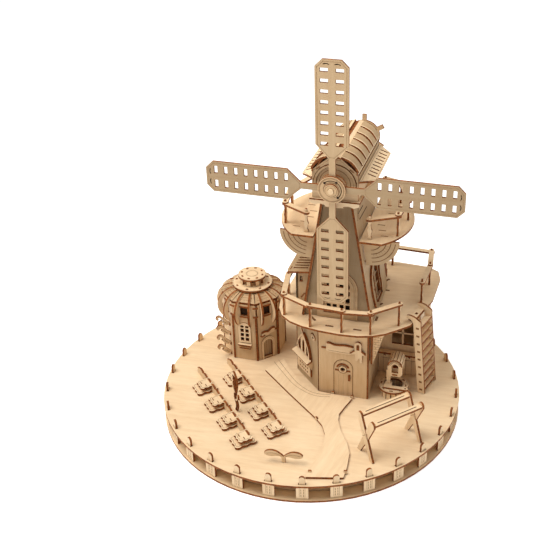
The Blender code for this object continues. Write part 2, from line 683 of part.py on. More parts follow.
def domed_house():
    half = 11.8 * MM
    light = rect(half - 3.6 * MM, 51 * MM, half + 3.6 * MM, 60 * MM)
    pane = []
    for side in (-1, 1):
        for row in range(3):
            pane.append(rect(half + (side * 2.5 - 1.7) * MM, (22.5 + 5 * row) * MM,
                             half + (side * 2.5 + 1.7) * MM, (26.2 + 5 * row) * MM))
    heads = [rect(half + (side * 2.5 - 1.7) * MM, 37.5 * MM, half + (side * 2.5 + 1.7) * MM,
                  40 * MM) for side in (-1, 1)]
    door = arch(half, 9.4 * MM, 2 * MM, 22 * MM)
    window = arch(half, 9 * MM, 22 * MM, 40 * MM)
    mitre = 1.7 * MM
    node("dome_wall_front", [dome_wall(0, [*pane, *heads, light], 0, 0)])
    node("dome_wall_front_right", [dome_wall(1, [door, light], mitre, mitre)])
    side_openings = {2: [light], 3: [window, light], 4: [window, light], 5: [window, light],
                     6: [light], 7: [light]}
    rear = [dome_wall(i, side_openings[i]) for i in range(2, 7)]
    rear.append(dome_wall(7, side_openings[7], trim_end=mitre))
    node("dome_walls_rear", rear)

    rib = mm([(29.8, 40), (34.6, 46), (36.2, 55), (34, 63), (26, 70), (19, 71.2), (13.5, 71.2),
              (13.5, 67), (23, 66.4), (29.6, 64.4), (31.2, 60), (31.4, 49), (29.8, 44.5)])
    ribs = [plate([circle(0, 0, 17 * MM), circle(0, 0, 11 * MM, 24)],
                  level(BASE_HEIGHT + 68 * MM, DOME_X, DOME_Y))]
    for i in range(16):
        turn = math.radians(-90 + 11.25 + 22.5 * i)
        out = (math.cos(turn), math.sin(turn), 0)
        ribs.append(plate([rib], frame((DOME_X, DOME_Y, BASE_HEIGHT), out)))
    for i in range(8):
        turn = math.radians(-90 + 45 * i)
        out = Vector((math.cos(turn), math.sin(turn), 0))
        spot = Vector((DOME_X, DOME_Y, BASE_HEIGHT + 65.4 * MM)) + out * 28 * MM
        slope = (UP * 4.3 - out * 11).normalized()
        panel = mm([(-11.4, 0), (11.4, 0), (6.8, 11.6), (-6.8, 11.6)])
        ribs.append(plate([panel], frame(spot, UP.cross(out), slope)))
    node("dome_ribs", ribs, WARM)

    pegs = [circle(16 * MM * math.cos(math.radians(a)), 16 * MM * math.sin(math.radians(a)),
                   0.9 * MM, 6) for a in range(0, 360, 45)]
    node("dome_ring_plate", [plate([circle(0, 0, 19.4 * MM, 40), circle(0, 0, 4 * MM, 16), *pegs],
                                   level(BASE_HEIGHT + DOME_RING_Z, DOME_X, DOME_Y))])
    lantern = [plate([circle(0, 0, 13.6 * MM)],
                     level(BASE_HEIGHT + DOME_TOP_Z - PLY, DOME_X, DOME_Y))]
    foot = BASE_HEIGHT + DOME_RING_Z + PLY + GAP
    for a in range(0, 360, 45):
        turn = math.radians(a)
        spot = Vector((DOME_X + 10.5 * MM * math.cos(turn), DOME_Y + 10.5 * MM * math.sin(turn), foot))
        along = (-math.sin(turn), math.cos(turn), 0)
        lantern.append(plate([rect(-1.6 * MM, 0, 1.6 * MM, BASE_HEIGHT + DOME_TOP_Z + 0.4 * MM - foot)],
                             frame(spot, along)))
    node("dome_lantern", lantern)


# ---------------------------------------------------------------- yard

CROP_ROWS = {"left": (-110, -11), "right": (-87, 9)}


def wavy(half_x, half_y, bumps=3, depth=0.9 * MM):
    """A rectangle with scalloped sides."""
    corners = rect(-half_x, -half_y, half_x, half_y)
    outline = []
    for i, corner in enumerate(corners):
        start, end = Vector(corner), Vector(corners[(i + 1) % 4])
        along = (end - start).normalized()
        inward = Vector((-along.y, along.x))
        outline.append(tuple(start + (along + inward) * depth))
        for j in range(1, 2 * bumps):
            spot = start.lerp(end, j / (2 * bumps))
            outline.append(tuple(spot + inward * (depth if j % 2 == 0 else 0)))
    return outline


def crop_row(name):
    """A scalloped strip standing along the row, with four double leaf plates on it."""
    start = Vector((*CROP_ROWS[name], 0)) * MM
    along = Vector((0.95, -1, 0)).normalized()
    length = 118
    top = []
    x = length
    while x > 0:
        top += [(x, 5.5), (x - 4.7, 8)]
        x -= 9.4
    strip = [(-3, 0), (length, 0)] + top + [(-3, 5)]
    foot = start + UP * (BASE_HEIGHT + GAP)
    pieces = [plate([mm(strip)], frame(foot, along))]
    across = UP.cross(along)
    for i in range(4):
        for x, y, z, half_x, half_y in ((25.7, -5, 0.5, 8.7, 10.4), (26.7, -4.9, 5, 7.1, 6.8)):
            centre = foot + along * (x + 28.8 * i) * MM + across * y * MM + UP * (z * MM + PLY / 2)
            pieces.append(plate([wavy(half_x * MM, half_y * MM)], frame(centre, along, across)))
    node("crop_row_" + name, pieces, WARM)


def yard():
    for name in CROP_ROWS:
        crop_row(name)

    hoe = ([(0, 0), (3, 0)] + arc(-6, 14, 11, -30, 60, 6) + arc(9, 33, 11, -130, -190, 4)
           + [(5, 44), (2, 45), (-4, 41)] + arc(9, 33, 14, -190, -130, 4) + arc(-6, 14, 8, 60, -30, 6))
    node("scarecrow", [plate([mm(hoe)], frame((-56 * MM, -56 * MM, BASE_HEIGHT + GAP), (-1, 1, 0)))],
         WARM)

    leaf = arc(9, 8.5, 8, -150, 150, 14, 0.52)
    sprout = mm([(-1.6, 0), (1.6, 0), (1.4, 5.5)] + leaf + [(0, 8.6)] + mirrored(leaf) + [(-1.4, 5.5)])
    node("sprout", [plate([sprout], frame((6 * MM, -112 * MM, BASE_HEIGHT + GAP), (1, 0.08, 0)))],
         WARM)
    rack()
    well()


def rack():
    """Two crossed end frames with two flat rails across them."""
    near = Vector((72.2, -87, 0)) * MM
    far = Vector((107.2, -50.6, 0)) * MM
    along = (far - near).normalized()
    across = Vector((along.y, -along.x, 0))
    foot = UP * (BASE_HEIGHT + GAP)
    leg = mm([(8.5, 0), (12, 0), (-7.5, 42), (-11, 42)])
    pieces = []
    for spot in (near, far):
        for shape in (leg, mirrored(leg)):
            pieces.append(plate([shape], frame(spot + foot, across)))
    span = (far - near).length
    for side in (-1, 1):
        rail = rect(-4 * MM, -3 * MM, span + 4 * MM, 3 * MM)
        slit = rect(6 * MM, -0.5 * MM, span - 6 * MM, 0.5 * MM)
        spot = near + across * side * 9 * MM + foot + UP * 41 * MM
        pieces.append(plate([rail, slit], frame(spot, along, UP.cross(along))))
    node("tying_rack", pieces)


def well():
    centre = Vector((WELL_X, WELL_Y, BASE_HEIGHT + GAP))
    ring = plate([circle(0, 0, WELL_RADIUS, 32), circle(0, 0, 9 * MM, 24)],
                 level(BASE_HEIGHT + WELL_HEIGHT - PLY, WELL_X, WELL_Y))
    pieces = [ring]
    for i in range(8):
        turn = math.radians(22.5 + 45 * i)
        out = Vector((math.cos(turn), math.sin(turn), 0))
        pieces.append(plate([rect(-3.2 * MM, 0, 3.2 * MM, WELL_HEIGHT - 0.9 * MM)],
                            frame(centre + out * 11.5 * MM, UP.cross(out))))
    beam = mm([(-8, -9), (15, -9), (15, -5), (-1, -5), (-1, 1), (-8, 1)])
    pieces.append(plate([beam], level(BASE_HEIGHT + WELL_HEIGHT - 0.2 * MM, WELL_X, WELL_Y)))
    post = rect(-7 * MM, WELL_HEIGHT + 0.4 * MM, -2 * MM, 26 * MM)
    pieces.append(plate([post], frame(centre + Vector((0, -1 * MM, 0)), (1, 0, 0))))

    hood, bow = Vector((1.5 * MM, 0, 33 * MM)), 7 * MM
    shield = [(-bow, -12 * MM), (bow, -12 * MM)] + arc(0, 0, bow, 0, 180, 8)
    pieces += [plate([shield], frame(centre + hood + Vector((0, y * MM, 0)), (1, 0, 0)))
               for y in (-2.5, 9)]
    for i in range(5):
        turn = math.radians(18 + 36 * i)
        out = Vector((math.cos(turn), 0, math.sin(turn)))
        spot = centre + hood + out * (bow - 0.7 * MM) + Vector((0, 3.2 * MM, 0))
        pieces.append(plate([rect(-7.4 * MM, -1.6 * MM, 7.4 * MM, 1.6 * MM)],
                            frame(spot, (0, 1, 0), (-out.z, 0, out.x))))
    node("well", pieces, WARM)


base()
path()
house()
deck()
ladder()
tower()
tower_window()
balconies()
awning()
cap()
vault()
sails()
domed_house()
yard()
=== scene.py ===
"""The looks of the plywood windmill manor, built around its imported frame.

Lengths here are in millimetres in the frame's axes, and each mesh is scaled to metres when it is made.
"""

import math

import bpy
from mathutils import Matrix, Vector
from mathutils.geometry import tessellate_polygon


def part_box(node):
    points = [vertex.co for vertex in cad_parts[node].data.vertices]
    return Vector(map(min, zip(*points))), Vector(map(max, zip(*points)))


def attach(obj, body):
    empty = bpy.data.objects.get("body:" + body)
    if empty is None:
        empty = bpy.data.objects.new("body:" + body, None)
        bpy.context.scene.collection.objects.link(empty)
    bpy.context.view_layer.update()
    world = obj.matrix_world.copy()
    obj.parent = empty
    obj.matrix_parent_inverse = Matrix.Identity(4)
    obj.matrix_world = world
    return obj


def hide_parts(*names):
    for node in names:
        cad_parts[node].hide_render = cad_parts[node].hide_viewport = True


MM = 0.001
PLY = 2.0
RIGHT = Vector((1, 0, 0))
BACK = Vector((0, 1, 0))
UP = Vector((0, 0, 1))
GAP = 0.3
EIGHTHS = range(0, 360, 45)
SIDES = ((1, "right"), (-1, "left"))
HALF_TURN = Matrix.Rotation(math.pi, 4, "Y")

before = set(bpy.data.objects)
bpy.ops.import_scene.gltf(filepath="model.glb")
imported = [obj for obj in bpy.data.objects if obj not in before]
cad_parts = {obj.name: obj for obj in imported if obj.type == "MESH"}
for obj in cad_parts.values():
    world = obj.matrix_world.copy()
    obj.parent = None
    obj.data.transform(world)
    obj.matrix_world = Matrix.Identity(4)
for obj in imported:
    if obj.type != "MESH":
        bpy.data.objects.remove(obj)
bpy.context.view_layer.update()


# ---------------------------------------------------------------- places taken from the frame

def low(node):
    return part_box(node)[0] / MM


def high(node):
    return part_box(node)[1] / MM


def middle(node):
    return (low(node) + high(node)) / 2


YARD = high("base_top_plate").z
DECK = high("main_deck").z
TOWER_X = middle("tower_front").x
TOWER_TOP = high("tower_front").z
HUB = middle("hub_front_disc")
DOME = middle("dome_ring_plate")


# ---------------------------------------------------------------- outlines

def rect(x0, y0, x1, y1):
    return [(x0, y0), (x1, y0), (x1, y1), (x0, y1)]


def arc(cx, cy, radius, start, stop, count, squeeze=1.0):
    """Points on an arc from start to stop degrees."""
    turns = [math.radians(start + (stop - start) * i / count) for i in range(count + 1)]
    return [(cx + radius * math.cos(t), cy + squeeze * radius * math.sin(t)) for t in turns]


def circle(cx, cy, radius, count=32):
    return arc(cx, cy, radius, 0, 360 * (count - 1) / count, count - 1)


def arch(cx, width, bottom, top, count=12):
    """An opening with an upright body and a round head."""
    half = width / 2
    return [(cx - half, bottom), (cx + half, bottom)] + arc(cx, top - half, half, 0, 180, count)


def moved(loop, dx, dy, degrees=0.0):
    c, s = math.cos(math.radians(degrees)), math.sin(math.radians(degrees))
    return [(dx + x * c - y * s, dy + x * s + y * c) for x, y in loop]


def mirrored(loop):
    return [(-x, y) for x, y in reversed(loop)]


def closed(path):
    return path + path[:1]


def ring_line(radius, count):
    return closed(circle(0, 0, radius, count))


def polar(radius, degrees):
    turn = math.radians(degrees)
    return radius * math.cos(turn), radius * math.sin(turn)


def heading(degrees):
    """A level direction, counted anticlockwise from +x."""
    return Vector((*polar(1, degrees), 0))


def smooth(points, steps=6, ring=False):
    """A curve through the points."""
    count = len(points)
    result = []
    last = count if ring else count - 1
    for i in range(last):
        a = points[(i - 1) % count] if ring or i else points[i]
        b, c = points[i], points[(i + 1) % count]
        d = points[(i + 2) % count] if ring or i + 2 < count else c
        for j in range(steps):
            t = j / steps
            result.append(tuple(
                0.5 * (2 * q + (r - p) * t + (2 * p - 5 * q + 4 * r - s) * t * t
                       + (3 * q - p - 3 * r + s) * t * t * t)
                for p, q, r, s in zip(a, b, c, d)))
    if not ring:
        result.append(points[-1])
    return result


# ---------------------------------------------------------------- places

def place(origin, along, up=UP):
    """A sheet's place: its x runs along, its y runs up, and its outer face looks along x cross y."""
    x = Vector(along).normalized()
    y = Vector(up).normalized()
    matrix = Matrix((x, y, x.cross(y))).transposed().to_4x4()
    matrix.translation = Vector(origin)
    return matrix


def flat(z, x=0.0, y=0.0):
    """A level plane that faces up."""
    return Matrix.Translation((x, y, z))


def level(z, x=0.0, y=0.0):
    """A flat sheet's place, with its underside at z."""
    return flat(z + PLY / 2, x, y)


def lifted(where, distance):
    """A place moved along its own outward direction."""
    return where @ Matrix.Translation((0, 0, distance))


def outer_face(where):
    return lifted(where, PLY / 2)


def inner_face(where):
    """The plane of a sheet's other side, seen from that side."""
    return lifted(where, -PLY / 2) @ HALF_TURN


# ---------------------------------------------------------------- materials

class Nodes:
    """A short way to write a material's nodes."""

    def __init__(self, name):
        self.material = bpy.data.materials.new(name)
        self.material.use_nodes = True
        self.tree = self.material.node_tree
        self.tree.nodes.clear()

    def add(self, kind, inputs=(), **settings):
        made = self.tree.nodes.new(kind)
        for key, value in settings.items():
            setattr(made, key, value)
        for key, value in dict(inputs).items():
            self.feed(made.inputs[key], value)
        return made

    def feed(self, socket, value):
        if isinstance(value, bpy.types.NodeSocket):
            self.tree.links.new(value, socket)
        elif isinstance(value, bpy.types.Node):
            self.tree.links.new(value.outputs[0], socket)
        else:
            socket.default_value = value

    def grain(self):
        """The grain coordinates that each sheet carries."""
        return self.add("ShaderNodeAttribute", attribute_name="grain").outputs[1]

    def math(self, operation, *values):
        return self.add("ShaderNodeMath", dict(enumerate(values)), operation=operation)

    def mix(self, factor, first, second, blend="MIX"):
        made = self.tree.nodes.new("ShaderNodeMix")
        made.data_type = "RGBA"
        made.blend_type = blend
        self.feed(made.inputs[0], factor)
        self.feed(made.inputs[6], first)
        self.feed(made.inputs[7], second)
        return made.outputs[2]

    def ramp(self, value, stops):
        made = self.add("ShaderNodeValToRGB", {0: value})
        elements = made.color_ramp.elements
        while len(elements) < len(stops):
            elements.new(0.5)
        for element, (position, colour) in zip(elements, stops):
            element.position = position
            element.color = colour
        return made.outputs[0]

    def finish(self, colour, roughness, height, strength):
        bump = self.add("ShaderNodeBump", {"Height": height, "Strength": strength, "Distance": 0.0002})
        shader = self.add("ShaderNodeBsdfPrincipled", {
            "Base Color": colour, "Roughness": roughness, "Normal": bump,
            "Specular IOR Level": 0.25})
        self.add("ShaderNodeOutputMaterial", {"Surface": shader.outputs[0]})
        return self.material


FACE_LIGHT = (0.88, 0.68, 0.44, 1)
FACE_DEEP = (0.72, 0.50, 0.285, 1)
BURN_LIGHT = (0.36, 0.110, 0.022, 1)
BURN_DEEP = (0.115, 0.028, 0.005, 1)


def grain_of(nodes, coordinates):
    """Birch figure: long fine streaks, broad clouds and short flecks, all running along x."""
    def noise(scale, size, detail, rough=0.6):
        mapped = nodes.add("ShaderNodeMapping", {0: coordinates, 3: scale})
        return nodes.add("ShaderNodeTexNoise", {
            "Vector": mapped, "Scale": size, "Detail": detail, "Roughness": rough}).outputs[0]

    streaks = noise((0.06, 1, 1), 2600, 5)
    bands = noise((0.12, 1, 1), 260, 3)
    clouds = noise((1, 1, 1), 22, 3)
    flecks = noise((0.22, 1, 1), 1500, 2)
    return streaks, bands, clouds, flecks


def face_colour(nodes, coordinates, tone, painted_shade=1.0):
    """Plywood's face: colour, roughness and height. A painted shade factor under 1 darkens it, more in blue
    than in red: painted shade on a piece that stands in shade.
    """
    streaks, bands, clouds, flecks = grain_of(nodes, coordinates)
    streak = nodes.math("MULTIPLY", streaks, 0.30)
    band = nodes.math("MULTIPLY", bands, 0.42)
    cloud = nodes.math("MULTIPLY", clouds, 0.34)
    total = nodes.math("ADD", nodes.math("ADD", streak, band), nodes.math("ADD", cloud, tone))
    base = nodes.ramp(total, ((0.36, FACE_DEEP), (0.70, FACE_LIGHT)))
    fleck = nodes.ramp(flecks, ((0.66, (0, 0, 0, 1)), (0.74, (1, 1, 1, 1))))
    colour = nodes.mix(nodes.math("MULTIPLY", fleck, 0.16), base, (0.46, 0.27, 0.12, 1))
    # Painted shade: the wood's colour is multiplied down, warmer than grey, where a piece's face stands in
    # shade.
    if painted_shade < 1:
        colour = nodes.mix(1.0, colour, (painted_shade, painted_shade * 0.94, painted_shade * 0.86, 1), "MULTIPLY")
    height = nodes.math("ADD", streaks, nodes.math("MULTIPLY", fleck, -0.4))
    rough = nodes.math("MULTIPLY_ADD", streaks, 0.18, 0.52)
    return colour, rough, height


def burn_colour(nodes, coordinates):
    """A laser-cut edge: charred brown, mottled lighter and darker by noise."""
    soot = nodes.add("ShaderNodeTexNoise", {"Vector": coordinates, "Scale": 420, "Detail": 4})
    fine = nodes.add("ShaderNodeTexNoise", {"Vector": coordinates, "Scale": 2600, "Detail": 2})
    blend = nodes.math("MULTIPLY_ADD", fine.outputs[0], 0.35,
                       nodes.math("MULTIPLY", soot.outputs[0], 0.65))
    colour = nodes.ramp(blend, ((0.36, BURN_DEEP), (0.64, BURN_LIGHT)))
    return colour, fine.outputs[0]


def sheet_face(name, tone=0.0, painted_shade=1.0):
    """Plywood's face for sheets that carry their own grain coordinates; a painted shade factor under 1
    darkens it as painted shade.
    """
    nodes = Nodes(name)
    colour, rough, height = face_colour(nodes, nodes.grain(), tone, painted_shade)
    return nodes.finish(colour, rough, height, 0.25)


def sheet_edge(name):
    nodes = Nodes(name)
    colour, height = burn_colour(nodes, nodes.grain())
    return nodes.finish(colour, 0.72, height, 0.3)


def engraved(name, colour):
    """Laser lines burnt into the face, uneven along their length. Made near-black, the same material is the
    painted shade inside openings and gaps.
    """
    nodes = Nodes(name)
    noise = nodes.add("ShaderNodeTexNoise", {"Vector": nodes.grain(), "Scale": 900, "Detail": 3})
    deep = tuple(c * 0.55 for c in colour) + (1,)
    shaded = nodes.ramp(noise.outputs[0], ((0.35, deep), (0.7, tuple(colour) + (1,))))
    return nodes.finish(shaded, 0.8, noise.outputs[0], 0.2)


def node_plywood(name, normal, along, tone=0.0, painted_shade=1.0):
    """Plywood for a flat CAD piece. Faces across its normal are charred, and grain runs along. A painted
    shade factor under 1 darkens its faces as painted shade.
    """
    nodes = Nodes(name)
    position = nodes.add("ShaderNodeTexCoord").outputs["Object"]
    x = Vector(along).normalized()
    z = Vector(normal).normalized()
    y = z.cross(x)
    rows = [nodes.add("ShaderNodeVectorMath", {0: position, 1: tuple(axis)}, operation="DOT_PRODUCT")
            for axis in (x, y, z)]
    coordinates = nodes.add("ShaderNodeCombineXYZ", {
        i: row.outputs["Value"] for i, row in enumerate(rows)})
    colour, rough, height = face_colour(nodes, coordinates.outputs[0], tone, painted_shade)
    burn, fine = burn_colour(nodes, coordinates.outputs[0])
    flat = nodes.add("ShaderNodeNewGeometry").outputs["True Normal"]
    local = nodes.add("ShaderNodeVectorTransform", {0: flat}, vector_type="NORMAL",
                      convert_from="WORLD", convert_to="OBJECT")
    facing = nodes.add("ShaderNodeVectorMath", {0: local, 1: tuple(z)}, operation="DOT_PRODUCT")
    turned = nodes.math("ABSOLUTE", facing.outputs["Value"])
    is_edge = nodes.math("LESS_THAN", turned, 0.7)
    shaded = nodes.mix(is_edge, colour, burn)
    roughness = nodes.math("MULTIPLY_ADD", is_edge, 0.15, rough)
    relief = nodes.math("MULTIPLY_ADD", is_edge, fine, height)
    return nodes.finish(shaded, roughness, relief, 0.25)


def dowel_material():
    nodes = Nodes("dowel")
    position = nodes.add("ShaderNodeTexCoord").outputs["Object"]
    turned = nodes.add("ShaderNodeMapping", {0: position, 2: (0, 0, math.pi / 2)})
    colour, rough, height = face_colour(nodes, turned.outputs[0], -0.05)
    return nodes.finish(colour, rough, height, 0.25)


FACE, EDGE, LINE, FAINT, PAINTED_DEEP_SHADE, PAINTED_SHADE = range(6)
PALETTE = [
    sheet_face("ply_face"),
    sheet_edge("ply_edge"),
    engraved("engraved_line", (0.30, 0.125, 0.045)),
    engraved("engraved_faint", (0.50, 0.30, 0.15)),
    # Near-black painted shade for the insides of windows, holes, slits and gaps.
    engraved("painted_deep_shade", (0.060, 0.030, 0.014)),
    # A darker copy of the plywood face: painted shade for pieces that stand in shade.
    sheet_face("ply_face_painted_shade", -0.06, 0.66),
]
DOWEL = dowel_material()


# ---------------------------------------------------------------- pieces

class Piece:
    """One visible piece: sheets of plywood and the lines engraved on them, in one mesh. A shaded piece gets
    painted shade: its faces take the darker copy of the plywood face.
    """

    def __init__(self, name, shaded=False):
        self.name = name
        self.shaded = shaded
        self.points = []
        self.faces = []
        self.kinds = []
        self.grain = []
        self.count = 0

    def corner(self, where, x, y, z, seed, turn):
        self.points.append(where @ Vector((x, y, z)) * MM)
        u, v = (y, x) if turn else (x, y)
        self.grain.append(((u + 37.3 * seed) * MM, (v + 11.9 * seed) * MM, (z + 5.1 * seed) * MM))
        return len(self.points) - 1

    def fill(self, loops, where, z, kind, seed, turn, side=1):
        """Triangles over a loop and its holes, at height z, facing out where side is 1."""
        ring = [point for loop in loops for point in loop]
        first = len(self.points)
        for x, y in ring:
            self.corner(where, x, y, z, seed, turn)
        for a, b, c in tessellate_polygon([[Vector((x, y, 0)) for x, y in loop] for loop in loops]):
            (ax, ay), (bx, by), (cx, cy) = ring[a], ring[b], ring[c]
            turns_left = (bx - ax) * (cy - ay) - (by - ay) * (cx - ax) > 0
            order = (a, b, c) if turns_left == (side > 0) else (c, b, a)
            self.faces.append([first + i for i in order])
            self.kinds.append(kind)

    def sheet(self, loops, where, thick=PLY, face=FACE, edge=EDGE, turn=False):
        """A flat sheet with holes. Turn runs the grain up instead of along."""
        self.count += 1
        seed = self.count
        for side in (1, -1):
            self.fill(loops, where, side * thick / 2, face, seed, turn, side)
        for number, loop in enumerate(loops):
            area = sum(a[0] * b[1] - b[0] * a[1] for a, b in zip(loop, loop[1:] + loop[:1]))
            path = loop if (area > 0) == (number == 0) else loop[::-1]
            for (ax, ay), (bx, by) in zip(path, path[1:] + path[:1]):
                half = thick / 2
                quad = [self.corner(where, ax, ay, -half, seed, turn),
                        self.corner(where, bx, by, -half, seed, turn),
                        self.corner(where, bx, by, half, seed, turn),
                        self.corner(where, ax, ay, half, seed, turn)]
                self.faces.append(quad)
                self.kinds.append(edge)

    def on(self, loops, plane, thick, **looks):
        """A thin sheet that lies on a face."""
        self.sheet(loops, lifted(plane, thick / 2), thick, **looks)

    def lines(self, paths, where, width=0.5, kind=LINE, rise=0.04):
        """Engraved lines on a face: where is the face's own plane."""
        for path in paths:
            for (ax, ay), (bx, by) in zip(path, path[1:]):
                length = math.hypot(bx - ax, by - ay)
                if length < 1e-6:
                    continue
                ux, uy = (bx - ax) / length * width / 2, (by - ay) / length * width / 2
                first = [self.corner(where, x, y, rise, 1, False) for x, y in (
                    (ax - ux + uy, ay - uy - ux), (bx + ux + uy, by + uy - ux),
                    (bx + ux - uy, by + uy + ux), (ax - ux - uy, ay - uy + ux))]
                self.faces.append(first)
                self.kinds.append(kind)

    def faint(self, paths, where, width=0.3):
        """Lightly engraved lines."""
        self.lines(paths, where, width, FAINT)

    def patch(self, loops, where, kind=PAINTED_DEEP_SHADE, rise=0.03):
        """A flat coloured area on a face, near-black painted shade unless another kind is given."""
        self.fill(loops, where, rise, kind, 1, False)

    def make(self, body="model", replaces=()):
        mesh = bpy.data.meshes.new(self.name)
        mesh.from_pydata(self.points, [], self.faces)
        for material in PALETTE:
            mesh.materials.append(material)
        # Painted shade: a shaded piece's faces take the darker copy of the plywood face.
        kinds = [PAINTED_SHADE if self.shaded and kind == FACE else kind for kind in self.kinds]
        mesh.polygons.foreach_set("material_index", kinds)
        grain = mesh.attributes.new("grain", "FLOAT_VECTOR", "POINT")
        grain.data.foreach_set("vector", [value for row in self.grain for value in row])
        mesh.update()
        made = bpy.data.objects.new(self.name, mesh)
        bpy.context.scene.collection.objects.link(made)
        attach(made, body)
        if replaces:
            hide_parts(*replaces)


# ---------------------------------------------------------------- CAD pieces that stay

def cover(names, material):
    for name in names:
        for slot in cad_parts[name].material_slots:
            slot.link = "OBJECT"
            slot.material = material


# painted_shade under 1 darkens the pieces' plywood as painted shade.
def dress(names, normal, along=RIGHT, painted_shade=1.0, tone=0.0):
    cover(names, node_plywood("ply_" + names[0], normal, along, tone, painted_shade))


def dress_frame():
    dress(["base_top_plate", "base_bottom_plate"], UP, (1, 0.05, 0), tone=0.03)
    dress(["path_plate"], UP, (0.2, 1, 0), tone=0.05)
    dress(["main_deck"], UP, (1, 0.1, 0), tone=0.02)
    dress(["balcony_left", "balcony_right"], UP, BACK, tone=0.02)
    dress(["cap_floor"], UP, BACK)
    dress(["dome_ring_plate"], UP, tone=0.05)
    # The numbers after the grain direction are painted shade: each piece's face is darkened to the shade it
    # stands in, though all the pieces are the same plywood.
    dress(["house_wall_front", "house_wall_rear"], BACK, UP, 0.85)
    dress(["dome_wall_front"], BACK, UP, 0.8)
    dress(["house_wall_right", "house_wall_left", "house_wall_wing_right", "cap_side_left",
           "cap_side_right"], RIGHT, UP, 0.8)
    dress(["house_wall_front_left"], (1, 1, 0), UP, 0.6)
    dress(["dome_wall_front_right"], (1, -1, 0), UP, 0.8)
    dress(["tower_front", "tower_rear"], BACK, UP, 0.45, -0.04)
    lean = TOWER_TOP - DECK
    reach = high("tower_side_right").x - low("tower_side_right").x
    dress(["tower_side_right"], (lean, 0, reach), UP, 0.66)
    dress(["tower_side_left"], (-lean, 0, reach), UP, 0.66)
    dress(["cap_gable_front", "cap_gable_rear"], BACK, RIGHT, 0.7)
    dress(["sail_top", "sail_bottom"], BACK, UP, 0.7)
    dress(["sail_left", "sail_right"], BACK, RIGHT, 0.54)
    dress(["hub_rear_disc", "hub_front_disc", "hub_cap_disc", "axle_collar", "rear_collar",
           "wheel_collar", "hand_wheel"], BACK, (1, 0, 0.3), 0.8)
    dress(["cap_wing_right"], (4, 0, 12), BACK, tone=0.03)
    dress(["cap_wing_left"], (-4, 0, 12), BACK, tone=0.03)
    cover(["sail_axle"], DOWEL)


# ---------------------------------------------------------------- shared details

def facade(start, end, foot):
    """A wall's outer face, seen from outside: x runs from start to end."""
    a, b = Vector((*start, 0)), Vector((*end, 0))
    return place(Vector((*start, foot)), b - a)


def window(piece, face, cx, width, bottom, top, border=1.6):
    """A proud arched frame with glazing bars behind it."""
    piece.on([arch(cx, width + 2 * border, bottom - border, top + border),
                 arch(cx, width, bottom, top)], face, 0.9)
    bars = lifted(face, -PLY / 2)
    piece.sheet([rect(cx - 0.8, bottom - 0.5, cx + 0.8, top + 0.5)], bars, 1.0)
    for i in (1, 2):
        z = bottom + (top - bottom) * i / 3
        piece.sheet([rect(cx - width / 2 - 0.5, z - 0.7, cx + width / 2 + 0.5, z + 0.7)], bars, 1.0)
    piece.on([rect(cx - width / 2 - 2, bottom - border - 1.6, cx + width / 2 + 2, bottom - border)],
                face, 2.6)


def bricks(width, height, course=3.2, brick=6.0):
    """Engraved courses over a rectangle from the origin."""
    paths = []
    row, z = 0, course
    while z < height:
        paths.append([(0, z), (width, z)])
        x = brick * (0.5 + 0.5 * (row % 2))
        while x < width:
            paths.append([(x, z - course), (x, z)])
            x += brick
        row += 1
        z += course
    return paths


def ribbon(points, width, steps=6):
    """The outline of a strip that follows a curve through the points."""
    line = [Vector(p) for p in smooth(points, steps)]
    left, right = [], []
    for i, p in enumerate(line):
        along = (line[min(i + 1, len(line) - 1)] - line[max(i - 1, 0)]).normalized()
        side = Vector((-along.y, along.x)) * width / 2
        left.append(tuple(p + side))
        right.append(tuple(p - side))
    return right + left[::-1]


def tab(piece, where, x, y, width, height, rise=0.5):
    """The end of a joining tab, standing just proud of the face."""
    piece.sheet([rect(x - width / 2, y - height / 2, x + width / 2, y + height / 2)],
                lifted(where, rise / 2 + 0.02), rise, face=EDGE)


# ---------------------------------------------------------------- base and yard

def rim():
    piece = Piece("rim_stakes")
    ring = high("base_top_plate").x - 3.2
    foot = low("base_rim_stakes").z
    top = high("base_rim_stakes").z - foot
    panel = YARD - 2 * PLY - 0.6
    stake = [(-5.2, 0), (5.2, 0), (5.2, panel), (2.6, panel)] + arc(0, top - 2.6, 2.6, 0, 180, 12)
    stake += [(-2.6, panel), (-5.2, panel)]
    for i in range(30):
        angle = -90 + 12 * i
        out = heading(angle)
        where = place(out * ring + UP * foot, UP.cross(out))
        piece.sheet([stake], where, turn=True)
        face = outer_face(where)
        piece.faint([[(x, 2.2), (x, 11.4)] for x in (-2.4, 2.4)], face, 0.35)
        piece.faint([[(x, z), (x, z + 1.7)] for x in (-1.1, 1.1) for z in (2.6, 5.6, 8.6)], face, 0.7)
        piece.sheet([rect(ring - 8.6, 0.3, ring - 1.1, panel - 0.3)], place(UP * foot, out))
        out = heading(angle + 6)
        where = place(out * (ring - 9.4) + UP * foot, UP.cross(out))
        # The panels behind the stakes take the painted shade face.
        piece.sheet([rect(-13.7, 0.2, 13.7, panel - 0.2)], where, face=PAINTED_SHADE)
    piece.make(replaces=["base_rim_stakes"])


def path_details():
    piece = Piece("path_details")
    top = flat(high("path_plate").z)
    for gap in (0, 3.6):
        curve = smooth([(-41 - gap, 25 - gap), (-28 - gap * 0.8, 10 - gap), (-13 - gap * 0.6, -5.6 - gap),
                        (1.5, -15 - gap), (13, -17 - gap), (22, -15 - gap)], 8)
        piece.faint([curve], top, 0.45)
    for x, y, degrees in ((18.6, -51.8, -42), (31.4, -120.5, 12), (60.6, -113.5, 12),
                          (42.4, -13.8, 0), (23.6, -12.4, 0)):
        where = place((x, y, YARD + GAP), heading(degrees))
        piece.sheet([[(-1.5, 0), (1.5, 0), (1.5, 2.9), (1.1, 3.5), (-1.1, 3.5), (-1.5, 2.9)]], where, 1.6)
    piece.make()


